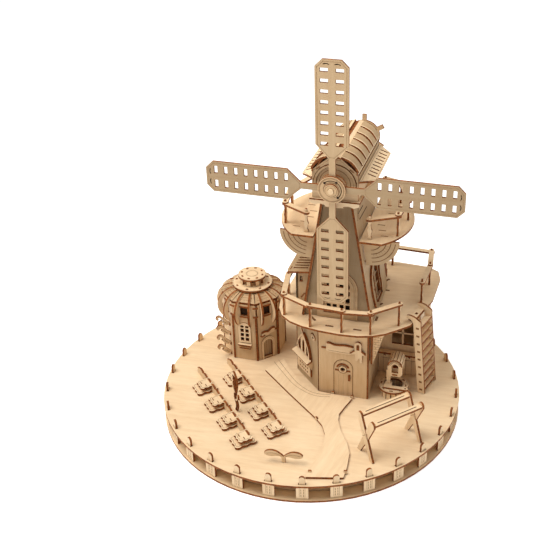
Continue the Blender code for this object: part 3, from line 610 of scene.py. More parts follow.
def crop_rows():
    along = Vector((0.95, -1, 0)).normalized()
    across = UP.cross(along)
    length = 118.0
    crest = []
    for i in range(12, 0, -1):
        crest += arc(i * 9.6 - 4.2, 5.7, 4.7, 20, 160, 6, 0.5)
    strip = [(-3, 0), (length, 0), (length, 5.2)] + crest + [(-3, 5.2)]
    plates = ((25.7, -5.0, 0.5, 8.7, 10.4), (26.7, -4.9, 5.0, 7.1, 6.8))
    for name, start in (("left", (-110, -11, 0)), ("right", (-87, 9, 0))):
        piece = Piece("crops_" + name)
        foot = Vector(start) + UP * (YARD + GAP)
        piece.sheet([strip], place(foot, along))
        for i in range(4):
            for x, y, z, half_x, half_y in plates:
                centre = foot + along * (x + 28.8 * i) + across * y + UP * (z + PLY / 2)
                where = place(centre, along, across)
                piece.sheet([wavy(half_x, half_y)], where)
                face = outer_face(where)
                piece.faint([closed(wavy(half_x - 1.5, half_y - 1.5, 3, 0.6))], face)
                if z > 1:
                    slots = [rect(-4.4, -3.6, -0.6, -2.7), rect(1.4, -1.0, 4.8, -0.1)]
                    piece.patch(slots, face, LINE)
            leg = foot + along * (26.7 + 28.8 * i) + across * -6.0
            piece.sheet([rect(-4.5, 0.4, 4.5, 5.4)], place(leg, along), 1.6)
        piece.make(replaces=["crop_row_" + name])


def wavy(half_x, half_y, bumps=3, depth=0.9):
    """A rectangle with scalloped sides and rounded corners."""
    corners = rect(-half_x, -half_y, half_x, half_y)
    outline = []
    for i, corner in enumerate(corners):
        start, end = Vector(corner), Vector(corners[(i + 1) % 4])
        along = (end - start).normalized()
        inward = Vector((-along.y, along.x))
        outline.append(tuple(start + (along + inward) * depth))
        for j in range(1, 2 * bumps):
            spot = start.lerp(end, j / (2 * bumps))
            outline.append(tuple(spot + inward * (depth if j % 2 == 0 else 0)))
    return smooth(outline, 4, ring=True)


def yard():
    centre = middle("scarecrow")
    piece = Piece("garden_figure")
    where = place((centre.x, centre.y, YARD + GAP), (-1, 1, 0))
    body = ribbon([(0.5, 0), (-2.2, 7), (1.4, 15), (-0.6, 23), (-2.8, 30), (-1.8, 37), (2.0, 41),
                   (4.6, 38.5), (4.2, 34.5)], 2.8, 8)
    piece.sheet([body], where, turn=True)
    piece.sheet([ribbon([(0.6, 20), (3.6, 25), (4.8, 30), (3.2, 33.5)], 2.0, 6)], where, turn=True)
    piece.sheet([ribbon([(0.0, 12), (-3.6, 15), (-4.6, 19.5)], 1.8, 6)], where, turn=True)
    piece.make(replaces=["scarecrow"])

    piece = Piece("sprout_leaves")
    centre = middle("sprout")
    where = place((centre.x, centre.y, YARD + GAP), (1, 0.08, 0))
    leaf = smooth([(0, 6.2), (2, 8.3), (6, 11.0), (10, 11.9), (14, 11.2), (16.6, 9.0), (16.4, 7.4),
                   (14, 6.0), (10, 5.6), (6, 6.4), (2.6, 6.2), (1.5, 4.5)], 4)
    outline = [(1.6, 0)] + leaf[::-1] + mirrored(leaf)[::-1] + [(-1.6, 0)]
    piece.sheet([outline], where)
    for side in (1, -1):
        vein = smooth([(1.8 * side, 6.8), (6 * side, 8.9), (10.5 * side, 9.3), (14.5 * side, 8.4)], 5)
        piece.faint([vein], outer_face(where), 0.35)
        piece.faint([[(-x, y) for x, y in vein]], inner_face(where), 0.35)
    piece.make(replaces=["sprout"])


def rack():
    piece = Piece("rack")
    near, far = Vector((72.2, -87, 0)), Vector((107.2, -50.6, 0))
    along = (far - near).normalized()
    across = Vector((along.y, -along.x, 0))
    foot = UP * (YARD + GAP)
    top = high("tying_rack").z - YARD - GAP
    leg = [(7.8, 0), (12.4, 0), (3.2, 21), (-5.4, 38.5)] + arc(-8.8, top - 3.4, 3.3, 0, 180, 10)
    leg += [(-12.2, 37), (-3.0, 18.5)]
    for spot in (near, far):
        for number, shape in enumerate((leg, mirrored(leg))):
            where = place(spot + foot + along * (0.6 * number - 0.3), across)
            piece.sheet([shape], where, turn=True)
        face = lifted(place(spot + foot, across), 1.35)
        piece.faint([[(-3.4, 20), (3.4, 26)], [(-3.4, 26), (3.4, 20)]], face, 0.4)
    span = (far - near).length
    for side in (-1, 1):
        spot = near + across * side * 9 + foot + UP * (top - 3.4)
        where = place(spot, along, UP.cross(along))
        piece.sheet([rect(0.8, -2.9, span - 0.8, 2.9), rect(5, -0.45, span - 5, 0.45)], where)
        piece.patch([rect(5, -0.45, span - 5, 0.45)], lifted(where, -0.6), LINE)
    piece.make(replaces=["tying_rack"])


def smooth_corners(loop, cut=0.35):
    """A loop with each corner cut a little."""
    result = []
    count = len(loop)
    for i in range(count):
        a, b, c = (Vector(loop[(i + k) % count]) for k in (-1, 0, 1))
        result.append(tuple(b + (a - b).normalized() * min(cut, (a - b).length / 3)))
        result.append(tuple(b + (c - b).normalized() * min(cut, (c - b).length / 3)))
    return result


def well():
    piece = Piece("well_and_hood")
    cx, cy, height = 78.0, 5.0, 10.0
    deck = level(YARD + height - PLY, cx, cy)
    slots = [moved(rect(-1.7, -0.8, 1.7, 0.8), *polar(11.5, a), a + 90) for a in EIGHTHS]
    piece.sheet([circle(0, 0, 14, 48), circle(0, 0, 9, 36)], deck)
    face = outer_face(deck)
    piece.faint([ring_line(13.2, 48), ring_line(9.7, 36)], face)
    for slot in slots:
        piece.patch([slot], face, LINE)
    centre = Vector((cx, cy, YARD + GAP))
    for i in range(16):
        out = heading(11.25 + 22.5 * i)
        piece.sheet([rect(-1.9, 0, 1.9, height - 2.2)], place(centre + out * 11.4, UP.cross(out)),
                    1.6, turn=True)
    # Painted shade: a near-black disc inside the well's ring.
    piece.patch([circle(0, 0, 9.6, 32)], flat(YARD + 0.4, cx, cy), PAINTED_DEEP_SHADE)
    beam = [(-8, -9), (13, -9), (15, -8), (15, -6), (13, -5), (-1, -5), (-1, 0), (-2, 1), (-7, 1),
            (-8, 0)]
    arm = level(YARD + height - 0.2, cx, cy)
    piece.sheet([smooth_corners(beam, 0.8)], arm)
    for peg in ((-4.5, -1.6), (12.4, -7)):
        piece.patch([circle(*peg, 0.9, 12)], outer_face(arm), LINE)
    post = [(-6.6, height), (-2.4, height), (-2.8, 15), (-2.0, 26.5), (-7.0, 26.5), (-6.2, 15)]
    piece.sheet([smooth_corners(post, 0.5)], place(centre + Vector((0, -1, 0)), RIGHT), turn=True)

    hood = centre + Vector((1.5, 0, 33))
    bow = 7.0
    shield = [(-bow, -9), (-bow + 2.2, -12), (bow - 2.2, -12), (bow, -9)] + arc(0, 0, bow, 0, 180, 14)
    for y in (-2.5, 9):
        where = place(hood + Vector((0, y, 0)), RIGHT)
        piece.sheet([shield, arch(0, 6.2, -8, 1.6, 8)], where, turn=True)
        if y < 0:
            face = outer_face(where)
            piece.lines([arc(0, -0.5, 5.2, 10, 170, 12), arc(0, -0.5, 4.1, 10, 170, 10)], face, 0.5)
            tab(piece, lifted(where, 1), 0, -10, 5, 1.2)
    for i in range(7):
        across, rise = polar(1, 12 + 26 * i)
        out = Vector((across, 0, rise))
        spot = hood + out * (bow - 0.6) + Vector((0, 3.2, 0))
        piece.sheet([rect(-7.6, -1.3, 7.6, 1.3)], place(spot, BACK, (-out.z, 0, out.x)), 1.3)
    bucket = place(hood + Vector((0, 3.2, -7)), RIGHT)
    piece.sheet([[(-2.4, -4), (2.4, -4), (3, 1), (-3, 1)]], bucket, 4.0, turn=True)
    piece.make(replaces=["well"])


# ---------------------------------------------------------------- house and deck

FRONT, RIGHT_EDGE = low("house_wall_front").y, high("house_wall_front").x
LEFT = low("house_wall_left")
STOREY = high("house_wall_front").z - YARD


def door_wall():
    piece = Piece("front_door_wall_details")
    face = facade((0, FRONT), (1, FRONT), YARD)
    door = [(24.4, 1.2), (24.4, 32)] + arc(33.4, 32, 9, 180, 0, 16) + [(42.4, 1.2)]
    piece.lines([door], face, 0.7)
    piece.faint([arc(33.4, 32, 8.1, 180, 0, 16)], face, 0.25)
    piece.faint([[(x, 1.5), (x, 24)] for x in (28.9, 33.4, 37.9)], face, 0.18)
    eye = (32.9, 30.4)
    piece.on([arc(*eye, 6.6, 22, 158, 14) + arc(*eye, 5.3, 158, 22, 12)], face, 0.9, face=EDGE)
    piece.on([circle(*eye, 3.5, 28), circle(*eye, 2.3, 24)], face, 0.8)
    piece.lines([arc(*eye, 4.6, 190, 350, 14), arc(*eye, 4.2, 25, 155, 12)], face, 0.4)
    for side in (-1, 1):
        x = eye[0] + side * 5.3
        piece.on([rect(x - 1.9, 28.6, x + 1.9, 29.7)], face, 1.0, face=EDGE)
    piece.on([smooth_corners(rect(38.2, 18.4, 40.2, 25.2), 0.5)], face, 1.2, face=EDGE)
    banner = smooth([(17.2, 57.0), (18.6, 59.2), (21.5, 58.8), (25.2, 57.5), (30, 57.7), (35, 58.3),
                     (40, 57.9), (43.6, 57.2)], 5)
    below = smooth([(43, 49.2), (38, 48.4), (31, 48.3), (24, 48.7), (18.6, 49.0), (17.4, 50.2)], 5)
    piece.on([banner + below], face, 1.0)
    fold = [(18.2, 58.4), (21.5, 58.4), (25.2, 57.1), (30, 57.3), (35, 57.9), (40, 57.5), (43, 57)]
    piece.sheet([ribbon(fold, 1.1, 5)], lifted(face, 1.3), 0.8, face=EDGE)
    piece.faint([smooth([(19, 50.4), (26, 50), (34, 49.8), (42, 50.2)], 5)], lifted(face, 1.0), 0.4)
    tab(piece, face, 15.6, 52.3, 5.4, 1.5, 0.9)
    bird = ([(41.6, 51.6), (44.0, 53.6), (44.2, 60.0)] + arc(47.4, 60.4, 3.2, 172, 8, 10)
            + [(50.6, 53.8), (54.4, 51.4), (54.0, 49.8), (51.4, 50.2), (51.2, 42.2), (49.6, 41.4),
               (48.6, 46.6), (46.6, 43.2), (45.4, 43.6), (44.6, 50.4), (42.0, 50.0)])
    piece.on([bird], face, 2.0, turn=True)
    piece.sheet([arch(47.4, 2.6, 55.4, 61.2)], lifted(face, 2.2), 0.5, face=EDGE)
    for side in (-1, 1):
        roof = [(47.4 + side * 3.2, 54.6), (47.4 + side * 7.2, 51.2)]
        piece.sheet([ribbon(roof, 1.0, 2)], lifted(face, 2.3), 0.6, face=EDGE)
    piece.sheet([rect(RIGHT_EDGE - 1.3, 0.3, RIGHT_EDGE - 0.1, STOREY)], lifted(face, 0.12), 0.2, face=EDGE)
    piece.make()


def corner_strips():
    piece = Piece("corner_strips")
    for x, y, degrees in ((10, -11, -22.5), (LEFT.x, LEFT.y, -67.5)):
        where = place((x + 1.0, y + 1.35, YARD + GAP), heading(degrees))
        piece.sheet([rect(-0.9, 0, 0.9, STOREY - 1)], where, 2.2, face=EDGE)
    piece.make()


def gusset():
    piece = Piece("gusset")
    top = high("deck_gusset_right").z
    face = facade((58, -6.0), (59, -6.0), top)
    triangle = [(0, 0), (13, 0), (11.5, -3.5), (4, -29), (2.5, -33), (0, -33)]
    piece.sheet([triangle], lifted(face, -1.0))
    for a, b in bricks(10, 30, 2.6, 4.4):
        edge_a = 12.0 - (30 - a[1]) * 0.31
        if a[0] == 0:
            piece.lines([[(0.6, a[1] - 32), (max(1.2, min(b[0], edge_a)), b[1] - 32)]], face, 0.28)
        elif a[0] < edge_a:
            piece.lines([[(a[0], a[1] - 32), (b[0], b[1] - 32)]], face, 0.28)
    strip = place((60.5, -9.2, top), BACK)
    piece.sheet([rect(0, -34, 4.5, 0)], lifted(strip, -1.0))
    piece.make(replaces=["deck_gusset_right"])


def wing_front():
    shelf_front = low("house_wall_wing_front").y
    piece = Piece("wing_front")
    face = facade((57, 35), (58, 35), YARD)
    piece.sheet([rect(0.3, 0.3, 39, STOREY - 0.3), rect(12.3, 34.8, 34, 60.3)], lifted(face, -1.0), turn=True)
    piece.faint([[(x, 0.6), (x, 27)] for x in (5, 10.5, 16, 21.5, 27, 32.5)], face)
    piece.lines([[(3, 22), (36, 22)], [(3, 17), (36, 17)]], face, 0.4)
    for x in (8, 15, 22, 29):
        tab(piece, face, x, 24.4, 4.2, 1.5)
    piece.on([rect(10.8, 33.3, 35.5, 61.8), rect(12.8, 35.2, 33.5, 59.9)], face, 0.9)
    piece.sheet([rect(22.3, 34.9, 23.9, 60)], lifted(face, -1.0), 1.2)
    piece.sheet([rect(12.5, 46.9, 33.8, 48.3)], lifted(face, -1.0), 1.2)
    piece.sheet([smooth_corners(rect(57.6, shelf_front, 95.8, 33.2), 1.2)], flat(YARD + 27))
    bracket = [(0, 0), (-4.4, 0), (-4.0, -1.4), (0, -5.2)]
    for x in (64, 76, 88):
        piece.sheet([bracket], place((x, 33.2, YARD + 26), BACK), 1.8)
    piece.make(replaces=["house_wall_wing_front"])


def side_walls():
    piece = Piece("right_wall_details")
    face = facade((57, FRONT), (57, 37), YARD)
    for line in bricks(26, 38, 3.4, 6.4):
        piece.faint([[(x + 6, z + 33) for x, z in line]], face, 0.25)
    piece.faint([[(x, 1), (x, 32)] for x in (6, 12.4, 18.8, 25.2, 31.6, 38)], face, 0.25)
    piece.make()

    piece = Piece("window_frames")
    wing_right, back = high("house_wall_wing_right").x, high("house_wall_rear").y
    face = place((wing_right, 35, YARD + GAP), BACK)
    window(piece, face, 34, 16, 20, 50)
    piece.faint(bricks(68, 16, 3.6, 7.2), face, 0.25)
    face = place((wing_right, back, YARD + GAP), -RIGHT)
    for x in (29, 87):
        window(piece, face, x, 16, 20, 50)
    window(piece, face, 58, 20, 6, 46)
    piece.faint(bricks(115, 5, 4.2, 8.4), face, 0.25)
    face = place((LEFT.x, back, YARD + GAP), -BACK)
    for x in (24, 60):
        window(piece, face, x, 15, 22, 50)
    piece.faint(bricks(83, 17, 3.6, 7.2), face, 0.25)
    piece.make()


def gothic(cx, half, bottom, spring, radius, count=12):
    """A pointed arch: straight sides up to the spring line, then two leaning arcs."""
    reach = math.degrees(math.acos((radius - half) / radius))
    right = arc(cx + half - radius, spring, radius, 0, reach, count)
    left = arc(cx - half + radius, spring, radius, 180 - reach, 180, count)
    return [(cx - half, bottom), (cx + half, bottom)] + right + left[1:]


def trellis():
    """A pointed lattice on the diagonal wall, with a flower ledge across it."""
    piece = Piece("trellis")
    face = facade((LEFT.x, LEFT.y), (10, FRONT), YARD)
    cx = 16.9
    tall = [gothic(cx, 2.0, 31, 41, 6.0)]
    for side in (-1, 1):
        x = cx + side * 7.2
        high_side, low_side = x - side * 2.0, x + side * 2.0
        tall.append([(high_side, 31), (low_side, 31), (low_side, 36), (x + side * 0.8, 40.5),
                     (high_side, 44)])
    squares = [rect(x - 1.9, z - 1.7, x + 1.9, z + 1.7) for x in (cx - 6, cx, cx + 6) for z in (21.5, 27.2)]
    dots = [rect(x - 0.9, z - 0.9, x + 0.9, z + 0.9)
            for x in (cx - 6.8, cx - 3.4, cx, cx + 3.4, cx + 6.8) for z in (12.2, 16.4)]
    piece.sheet([gothic(cx, 12.5, 9, 29, 29.3)] + tall + squares + dots, lifted(face, 1.1), turn=True)
    vine = [(13, 67), (13.4, 61), (15.4, 55.6), (20.0, 50.2), (25.2, 43.6), (28.0, 37), (29.0, 30)]
    piece.sheet([ribbon(vine, 1.7)], lifted(face, 2.6), 1.2)
    piece.sheet([ribbon([(cx, 50.5), (cx - 4.4, 46.6), (cx - 8.8, 40.4), (cx - 11.4, 33)], 1.2)],
                lifted(face, 2.4), 0.8)
    ledge = face @ Matrix.Translation((0, 29.4, 2.2)) @ Matrix.Rotation(math.radians(112), 4, "X")
    piece.sheet([smooth_corners(rect(3.6, 0, 32.8, 5.4), 0.6)], ledge)
    bracket = smooth([(0, 0), (6.0, 0), (5.4, -2.4), (3.0, -5.4), (0.6, -9.6), (0, -4)], 3, ring=True)
    for x in (6.4, 29.6):
        arm = face @ Matrix.Translation((x, 27, 0)) @ Matrix.Rotation(-math.pi / 2, 4, "Y")
        piece.sheet([bracket], arm, 1.8)
    disc = (33.4, 56.6)
    piece.on([circle(*disc, 3.4, 24), circle(*disc, 1.3, 16)], face, 1.0)
    piece.lines([closed(circle(*disc, 2.5, 20))], lifted(face, 1.0), 0.35)
    # Painted shade in the hole at the disc's centre.
    piece.patch([circle(*disc, 1.3, 16)], face, PAINTED_DEEP_SHADE)
    piece.lines([smooth([(28.6, 57.4), (30.2, 59.6), (33, 60.8)], 5)], face, 0.9)
    tab(piece, face, 1.8, 56, 2.2, 3.2, 0.8)
    piece.make()


def deck_details():
    piece = Piece("deck_tabs")
    top = flat(DECK)
    slot = rect(-3.6, -0.9, 3.6, 0.9)
    for x, y, degrees in ((2.8, -2, -45), (20, -10, 0), (46, -10, 0), (57, 36, 60), (57, 63, 0),
                          (54.6, 81, 60), (59, 12, 90), (-19, 44, 90), (-19, 84, 90), (20, 103, 0)):
        piece.patch([moved(slot, x, y, degrees)], top, LINE)
        # The near-black outline is painted shade in the gap around each tab.
        piece.lines([closed(moved(slot, x, y, degrees))], top, 0.35, PAINTED_DEEP_SHADE)
    piece.make()


def railing(name, points, foot, height, replaced, turned=()):
    """Lapped cap strips on shaped posts, with each post's peg through its cap."""
    piece = Piece(name)
    for i, (a, b) in enumerate(zip(points, points[1:])):
        a, b = Vector(a), Vector(b)
        lift = height - PLY + (PLY * 0.7 if i % 2 else 0)
        along = (b - a).normalized()
        angle = math.degrees(math.atan2(along.y, along.x))
        strip = arc(*(b + along * 0.6), 2.6, angle - 90, angle + 90, 8) + arc(
            *(a - along * 0.6), 2.6, angle + 90, angle + 270, 8)
        piece.sheet([strip], level(foot + lift))
    shaft = smooth([(1.9, 1.6), (1.2, 3.0), (1.5, 6.2), (2.1, 8.4), (1.2, 11), (1.0, 14.5), (1.7, 16.6)], 3)
    outline = [(1.9, 0)] + shaft + [(1.9, height - PLY - 0.2), (1.0, height - PLY), (1.0, height + 2.0),
                                    (0.6, height + 2.6)]
    for i, (x, y) in enumerate(points):
        out = RIGHT if i in turned else -BACK
        piece.sheet([outline + mirrored(outline)], place((x, y, foot + GAP), out), 1.9, turn=True)
    piece.make(replaces=[replaced])


RAIL = [(93.8, 51), (96, 84), (93, 110), (54, 112), (10, 112), (-24, 106), (-31, 72), (-31, 33),
        (-25, -1.2), (3.5, -14.7), (33.2, -16.6), (59, -13.6), (80.8, 6.6)]
BALCONY_POSTS = [(28.5, 5.6), (51, 18), (54.5, 50), (41.5, 82.5), (25.5, 88)]


def railings():
    railing("deck_rails", RAIL, DECK, 22, "deck_railing")
    top = high("balcony_right").z
    right = [(TOWER_X + x, y) for x, y in BALCONY_POSTS]
    left = [(TOWER_X - x, y) for x, y in BALCONY_POSTS]
    railing("balcony_rails_right", right, top, 20, "balcony_railing_right", (0,))
    railing("balcony_rails_left", left, top, 20, "balcony_railing_left", (0,))


def ladder():
    piece = Piece("ladder_steps")
    foot = Vector((107, 9.2, YARD + GAP))
    out = heading(-15.3)
    across = UP.cross(out)
    width, lean = 26.0, -7.3 / 76
    head = smooth([(76 * lean, 74), (-7.6, 77.6), (-10.5, 79.3), (-14, 81.2), (-19, 82), (-21.8, 81),
                   (-21.2, 78.9), (-17.6, 77.9), (-15.6, 76.4), (-14.6, 73)], 4)
    stringer = [(-7.2, 0), (0, 0)] + head
    for step in (0, width - PLY):
        where = place(foot + across * (PLY / 2 + step), out)
        piece.sheet([stringer], where, turn=True)
        flip = 1 if step == 0 else -1
        face = outer_face(where) if step == 0 else inner_face(where)
        for i in range(9):
            z = 4 + 8.3 * i
            x = flip * (z * lean - 3.6)
            piece.patch([rect(x - 1.5, z - 1.0, x + 1.5, z + 1.0)], face, LINE)
    for i in range(9):
        z = 4 + 8.3 * i
        inner = -7 + z * lean
        where = place(foot + UP * z + out * (inner + 3.5), (out + UP * 0.16), across)
        piece.sheet([rect(-3.3, 1.6, 3.3, width - 1.6)], where)
    landing = place(foot + UP * 76.4, out, across)
    piece.sheet([rect(-20.6, 2.2, -14.6, width - 2.2), moved(rect(-1.2, -1.6, 1.2, 1.6), -17.6, width / 2)],
                landing, 1.8)
    piece.make(replaces=["ladder"])


# ---------------------------------------------------------------- tower

FOOT_HALF, HEAD_HALF, TOWER_HEIGHT = 33.3, 13.7, 122.5


def tower_half(height):
    return FOOT_HALF + (HEAD_HALF - FOOT_HALF) * height / TOWER_HEIGHT


def tower_face(side):
    """The outer face of a leaning side: x runs forward to back on the right, and back on the left."""
    near = low("tower_side_right").y if side > 0 else high("tower_side_left").y
    slope = Vector((side * (HEAD_HALF - FOOT_HALF), 0, TOWER_HEIGHT)).normalized()
    return place((TOWER_X + side * FOOT_HALF, near, DECK), (0, side, 0), slope)


def tower():
    front = low("tower_front").y
    # The tower's details take the painted shade face, as the tower stands in shade.
    piece = Piece("tower_window_frame", shaded=True)
    face = place((TOWER_X, front, DECK), RIGHT)
    piece.on([arch(0, 38, 0.5, 51, 20), arch(0, 29.5, 4, 46.6, 20)], face, 1.0)
    piece.sheet([arch(0, 31.5, 2.5, 47.6, 20), arch(0, 25.6, 6, 44.4, 20)], lifted(face, 1.0), 0.9)
    piece.faint([arch(0, 34.6, 1, 49.2, 20)[1:]], lifted(face, 1.0))
    # Painted shade: a near-black sheet behind the window opening.
    back = lifted(face, -7.5)
    piece.sheet([arch(0, 30, 2, 46, 16)], back, 0.6, face=PAINTED_DEEP_SHADE, edge=PAINTED_DEEP_SHADE)
    piece.faint([[(x, 78), (x, 120)] for x in (-9, -3, 3, 9)], face, 0.2)
    piece.faint([[(-26 + z * 0.16, z), (-19.8, z)] for z in (12, 24, 36)], face, 0.25)
    piece.faint([[(19.8, z), (26 - z * 0.16, z)] for z in (12, 24, 36)], face, 0.25)
    piece.faint([[(-22, 58), (22, 58)]], face, 0.25)
    piece.make()

    for side, name in SIDES:
        # The ornaments take the painted shade face.
        piece = Piece("tower_ornament_" + name, shaded=True)
        face = tower_face(side)
        centre = (high("tower_side_right").y - low("tower_side_right").y) / 2

        def at(points):
            return [(centre + side * (x - centre), y) for x, y in points]

        window(piece, face, centre, 14, 12, 44)
        stem = [(17.5, 8), (15.2, 17), (14.2, 27), (15.4, 37), (20, 44), (27, 49)]
        piece.on([ribbon(at(stem), 2.6, 6)], face, 2.0)
        leaf = [(29.5, 51), (37, 50), (43.5, 45), (46.5, 37), (44, 30)]
        piece.on([ribbon(at(leaf), 2.2, 6)], face, 2.0)
        blob = smooth(at([(45.5, 38), (48.6, 33), (47.8, 27), (49.0, 21), (46.4, 15), (42.6, 10), (41.8, 14),
                          (43.6, 20), (42.4, 27), (43.6, 33)]), 5, ring=True)
        piece.on([blob], face, 2.4)
        for x, y in ((20, 24), (51, 24), (46, 9), (12, 60), (54, 60)):
            tab(piece, face, *at([(x, y)])[0], 4.6, 1.6, 0.7)
        piece.faint([at([(4, z), (10, z)]) for z in range(50, 84, 7)], face, 0.25)
        # Painted shade: two near-black lines for the slits high on the side.
        piece.lines([at([(12, 106.5), (29, 106)]), at([(13, 100.5), (40, 99.5)])], face, 1.1, PAINTED_DEEP_SHADE)
        piece.make()

    # The rear details take the painted shade face.
    piece = Piece("tower_rear_details", shaded=True)
    face = place((TOWER_X, 70, DECK), -RIGHT)
    window(piece, face, 0, 18, 4, 42)
    piece.faint([[(-20, 56), (20, 56)], [(-18, 68), (18, 68)]], face)
    for side in (-1, 1):
        rib = place((TOWER_X + side * 29, 0, DECK), (0, side, 0))
        for z in (4, 8, 12, 16, 20, 24, 28, 32, 36):
            reach = 90 - 4 * int(z / 8)
            piece.lines([[(side * 70.6, z), (side * (reach - 0.6), z)]], rib, 0.45)
    piece.make()


def balconies():
    top = low("balcony_right").z - 0.3
    for side, name in SIDES:
        # The corbels under the balcony take the painted shade face.
        piece = Piece("corbel_arches_" + name, shaded=True)
        wall, foot = tower_half(83.5) + 1.2, tower_half(57.5) + 1.2
        bow = arc(foot + 3, 0.3, 26, -90, -4, 22)
        shape = [(wall, 0), (foot, -26)] + bow + [(foot + 29, 0)]
        batten = [(wall, 0), (wall + 1.12, -7), (wall + 3.3, -7), (wall + 2.2, 0)]
        arcs = [arc(foot + 3, 0.3, r, -84, -6, 16) for r in (22.6, 18.6, 14.6, 10.6)]
        rays = [moved([polar(r, a) for r in (14.6, 18.6)], foot + 3, 0.3) for a in range(-78, -8, 10)]
        if side < 0:
            shape, batten = mirrored(shape), mirrored(batten)
            arcs = [mirrored(a) for a in arcs]
            rays = [mirrored(r) for r in rays]
        for y in (10, 62):
            where = place((TOWER_X, y, top), RIGHT)
            piece.sheet([shape], where)
            face = outer_face(where)
            piece.lines(arcs, face, 0.7)
            piece.faint(rays, face)
            piece.lines([mirrored(a) for a in arcs], inner_face(where), 0.7)
        piece.sheet([batten], place((TOWER_X, 36, top), RIGHT), 52)
        piece.make(replaces=["corbels_" + name])

        piece = Piece("balcony_slots_" + name)
        floor = flat(high("balcony_" + name).z)
        for x, y in ((40, 14), (36, 24), (33, 34), (33, 46), (38, 58)):
            piece.patch([moved(rect(-3.4, -0.6, 3.4, 0.6), TOWER_X + side * x, y)], floor, LINE)
        piece.make()


def awning():
    """The bay on the tower's left side, with its slotted roof."""
    # The bay takes the painted shade face.
    piece = Piece("bay", shaded=True)
    rise = 37.5
    inner = TOWER_X - tower_half(rise) - 2.2
    out = Vector((-1, 0, -0.12)).normalized()
    outline = [(0, 0), (44, 0)] + arc(40, 18, 4, 0, 90, 8) + arc(4, 18, 4, 90, 180, 8)
    roof = place((inner, 16, DECK + rise), BACK, out)
    piece.sheet([outline] + [rect(6 + 4.9 * i, 3, 7.8 + 4.9 * i, 17) for i in range(7)], roof)
    for x in (6.5, 37.5):
        piece.patch([rect(x - 3, 18.6, x + 3, 19.8)], outer_face(roof), LINE)
    foot = 0.3 - rise
    wall = [(-0.6, -0.6), (-14.5, -2.6), (-14.5, foot), (-5, foot)]
    for y in (22, 54):
        where = place((inner, y, DECK + rise), RIGHT)
        piece.sheet([wall, rect(-10.6, -13, -8.2, -8)], where, turn=True)
        face = outer_face(where)
        piece.lines([[(-6.6, -26.4), (-9.4, -30.6)]], face, 1.5)
        piece.faint([[(-13.4, -4), (-13.4, foot + 1)]], face)
        piece.on([rect(-10.8, -13.4, -8, -12.2)], face, 0.8, face=EDGE)
    left = place((inner - 13.5, 0, DECK + rise), -BACK)
    piece.sheet([rect(-55, foot, -21, -2.8), arch(-38, 13, -31, -9)], left, turn=True)
    window(piece, outer_face(left), -38, 13, -31, -9, 1.2)
    piece.make(replaces=["awning_left"])


# ---------------------------------------------------------------- cap

GABLE = low("cap_gable_front")


def gable():
    # The gable details take the painted shade face.
    piece = Piece("gable_details", shaded=True)
    face = place((TOWER_X, GABLE.y, GABLE.z), RIGHT)
    hub = HUB.z - GABLE.z
    for r, width in ((18.4, 0.9), (16.2, 0.5), (13.6, 0.5)):
        points = [p for p in arc(0, hub, r, -18, 198, 40) if p[1] > 0.8 and abs(p[0]) < 19.4]
        piece.lines([points], face, width)
    ring = arc(0, hub, 18.2, 0, 180, 30) + arc(0, hub, 16.4, 180, 0, 28)
    piece.on([ring], face, 0.9)
    inset = [(18.4, 24.9), (5.0, 36.2), (-5.0, 36.2), (-18.4, 24.9)]
    piece.faint([inset], face)
    for side in (-1, 1):
        mark = moved(rect(-2.2, -0.8, 2.2, 0.8), side * 14.6, 27.8, side * -40)
        piece.patch([mark], face, LINE)
        piece.patch([rect(side * 18.2 - 0.7, 13, side * 18.2 + 0.7, 18)], face, LINE)
    piece.make()


def cap_skirt():
    piece = Piece("cap_floor_skirt")
    floor_low, floor_high = low("cap_floor"), high("cap_floor")
    half = (floor_high.x - floor_low.x) / 2
    outline = [(-half, 0), (-half, -1.6), (-half + 5, -3.4), (-half + 9, -2.2), (-half + 14, -3.0),
               (-8, -4.2), (0, -4.8)]
    lower = smooth(outline[1:], 5)
    skirt = [(-half, 0.9)] + lower + mirrored(lower)[1:] + [(half, 0.9)]
    where = place((TOWER_X, floor_low.y - 0.9, floor_low.z + 0.6), RIGHT)
    piece.sheet([skirt], where, 1.6)
    piece.make()


def vault():
    """Bulged shingles over the cap, between a rail on each side of the ridge and one at each eave."""
    piece = Piece("roof_shingles")
    foot = GABLE.z
    eave, ridge = Vector((19.5, 26.0)), Vector((4.6, 38.3))
    slope = ridge - eave
    outward = Vector((slope.y, -slope.x)).normalized()

    def profile(rise, bulge, steps=14):
        return [eave + slope * (i / steps) + outward * (rise + bulge * math.sin(math.pi * i / steps))
                for i in range(steps + 1)]

    front, back = low("cap_vault").y, high("cap_vault").y
    count = 6
    pitch = (back - front) / count

    def section(rise, bulge, under, near, depth, edge=FACE):
        for side in (1, -1):
            outer = [(side * p.x, p.y) for p in profile(rise, bulge)]
            inner = [(side * p.x, p.y) for p in profile(rise - under, bulge)]
            where = place((TOWER_X, near + depth / 2, foot), RIGHT)
            piece.sheet([outer + inner[::-1]], where, depth, face=EDGE, edge=edge)

    for i in range(count):
        near = front + i * pitch
        # The bulged tops of the shingles take the painted shade face.
        section(1.3, 2.0, 1.2, near + 1.5, pitch - 1.5, edge=PAINTED_SHADE)
        section(2.2, 2.6, 1.8, near + 0.1, 1.5)
    length = back - front
    for side in (1, -1):
        slant = (side * 0.9, 0, -0.42)
        ridge_rail = place((TOWER_X + side * 3.6, front, foot + 38.9), BACK, slant)
        piece.sheet([rect(0, -2.0, length, 2.2)], ridge_rail, 1.3)
        eave_rail = place((TOWER_X + side * 19.4, front, foot + 26.0), BACK)
        piece.sheet([rect(0, -1.6, length, 0.9)], eave_rail, 1.2)
    piece.sheet([rect(-2.2, 0, 2.2, length)], place((TOWER_X, front, foot + 38.0), RIGHT, BACK), 1.4,
                face=EDGE)
    piece.make(replaces=["cap_vault"])


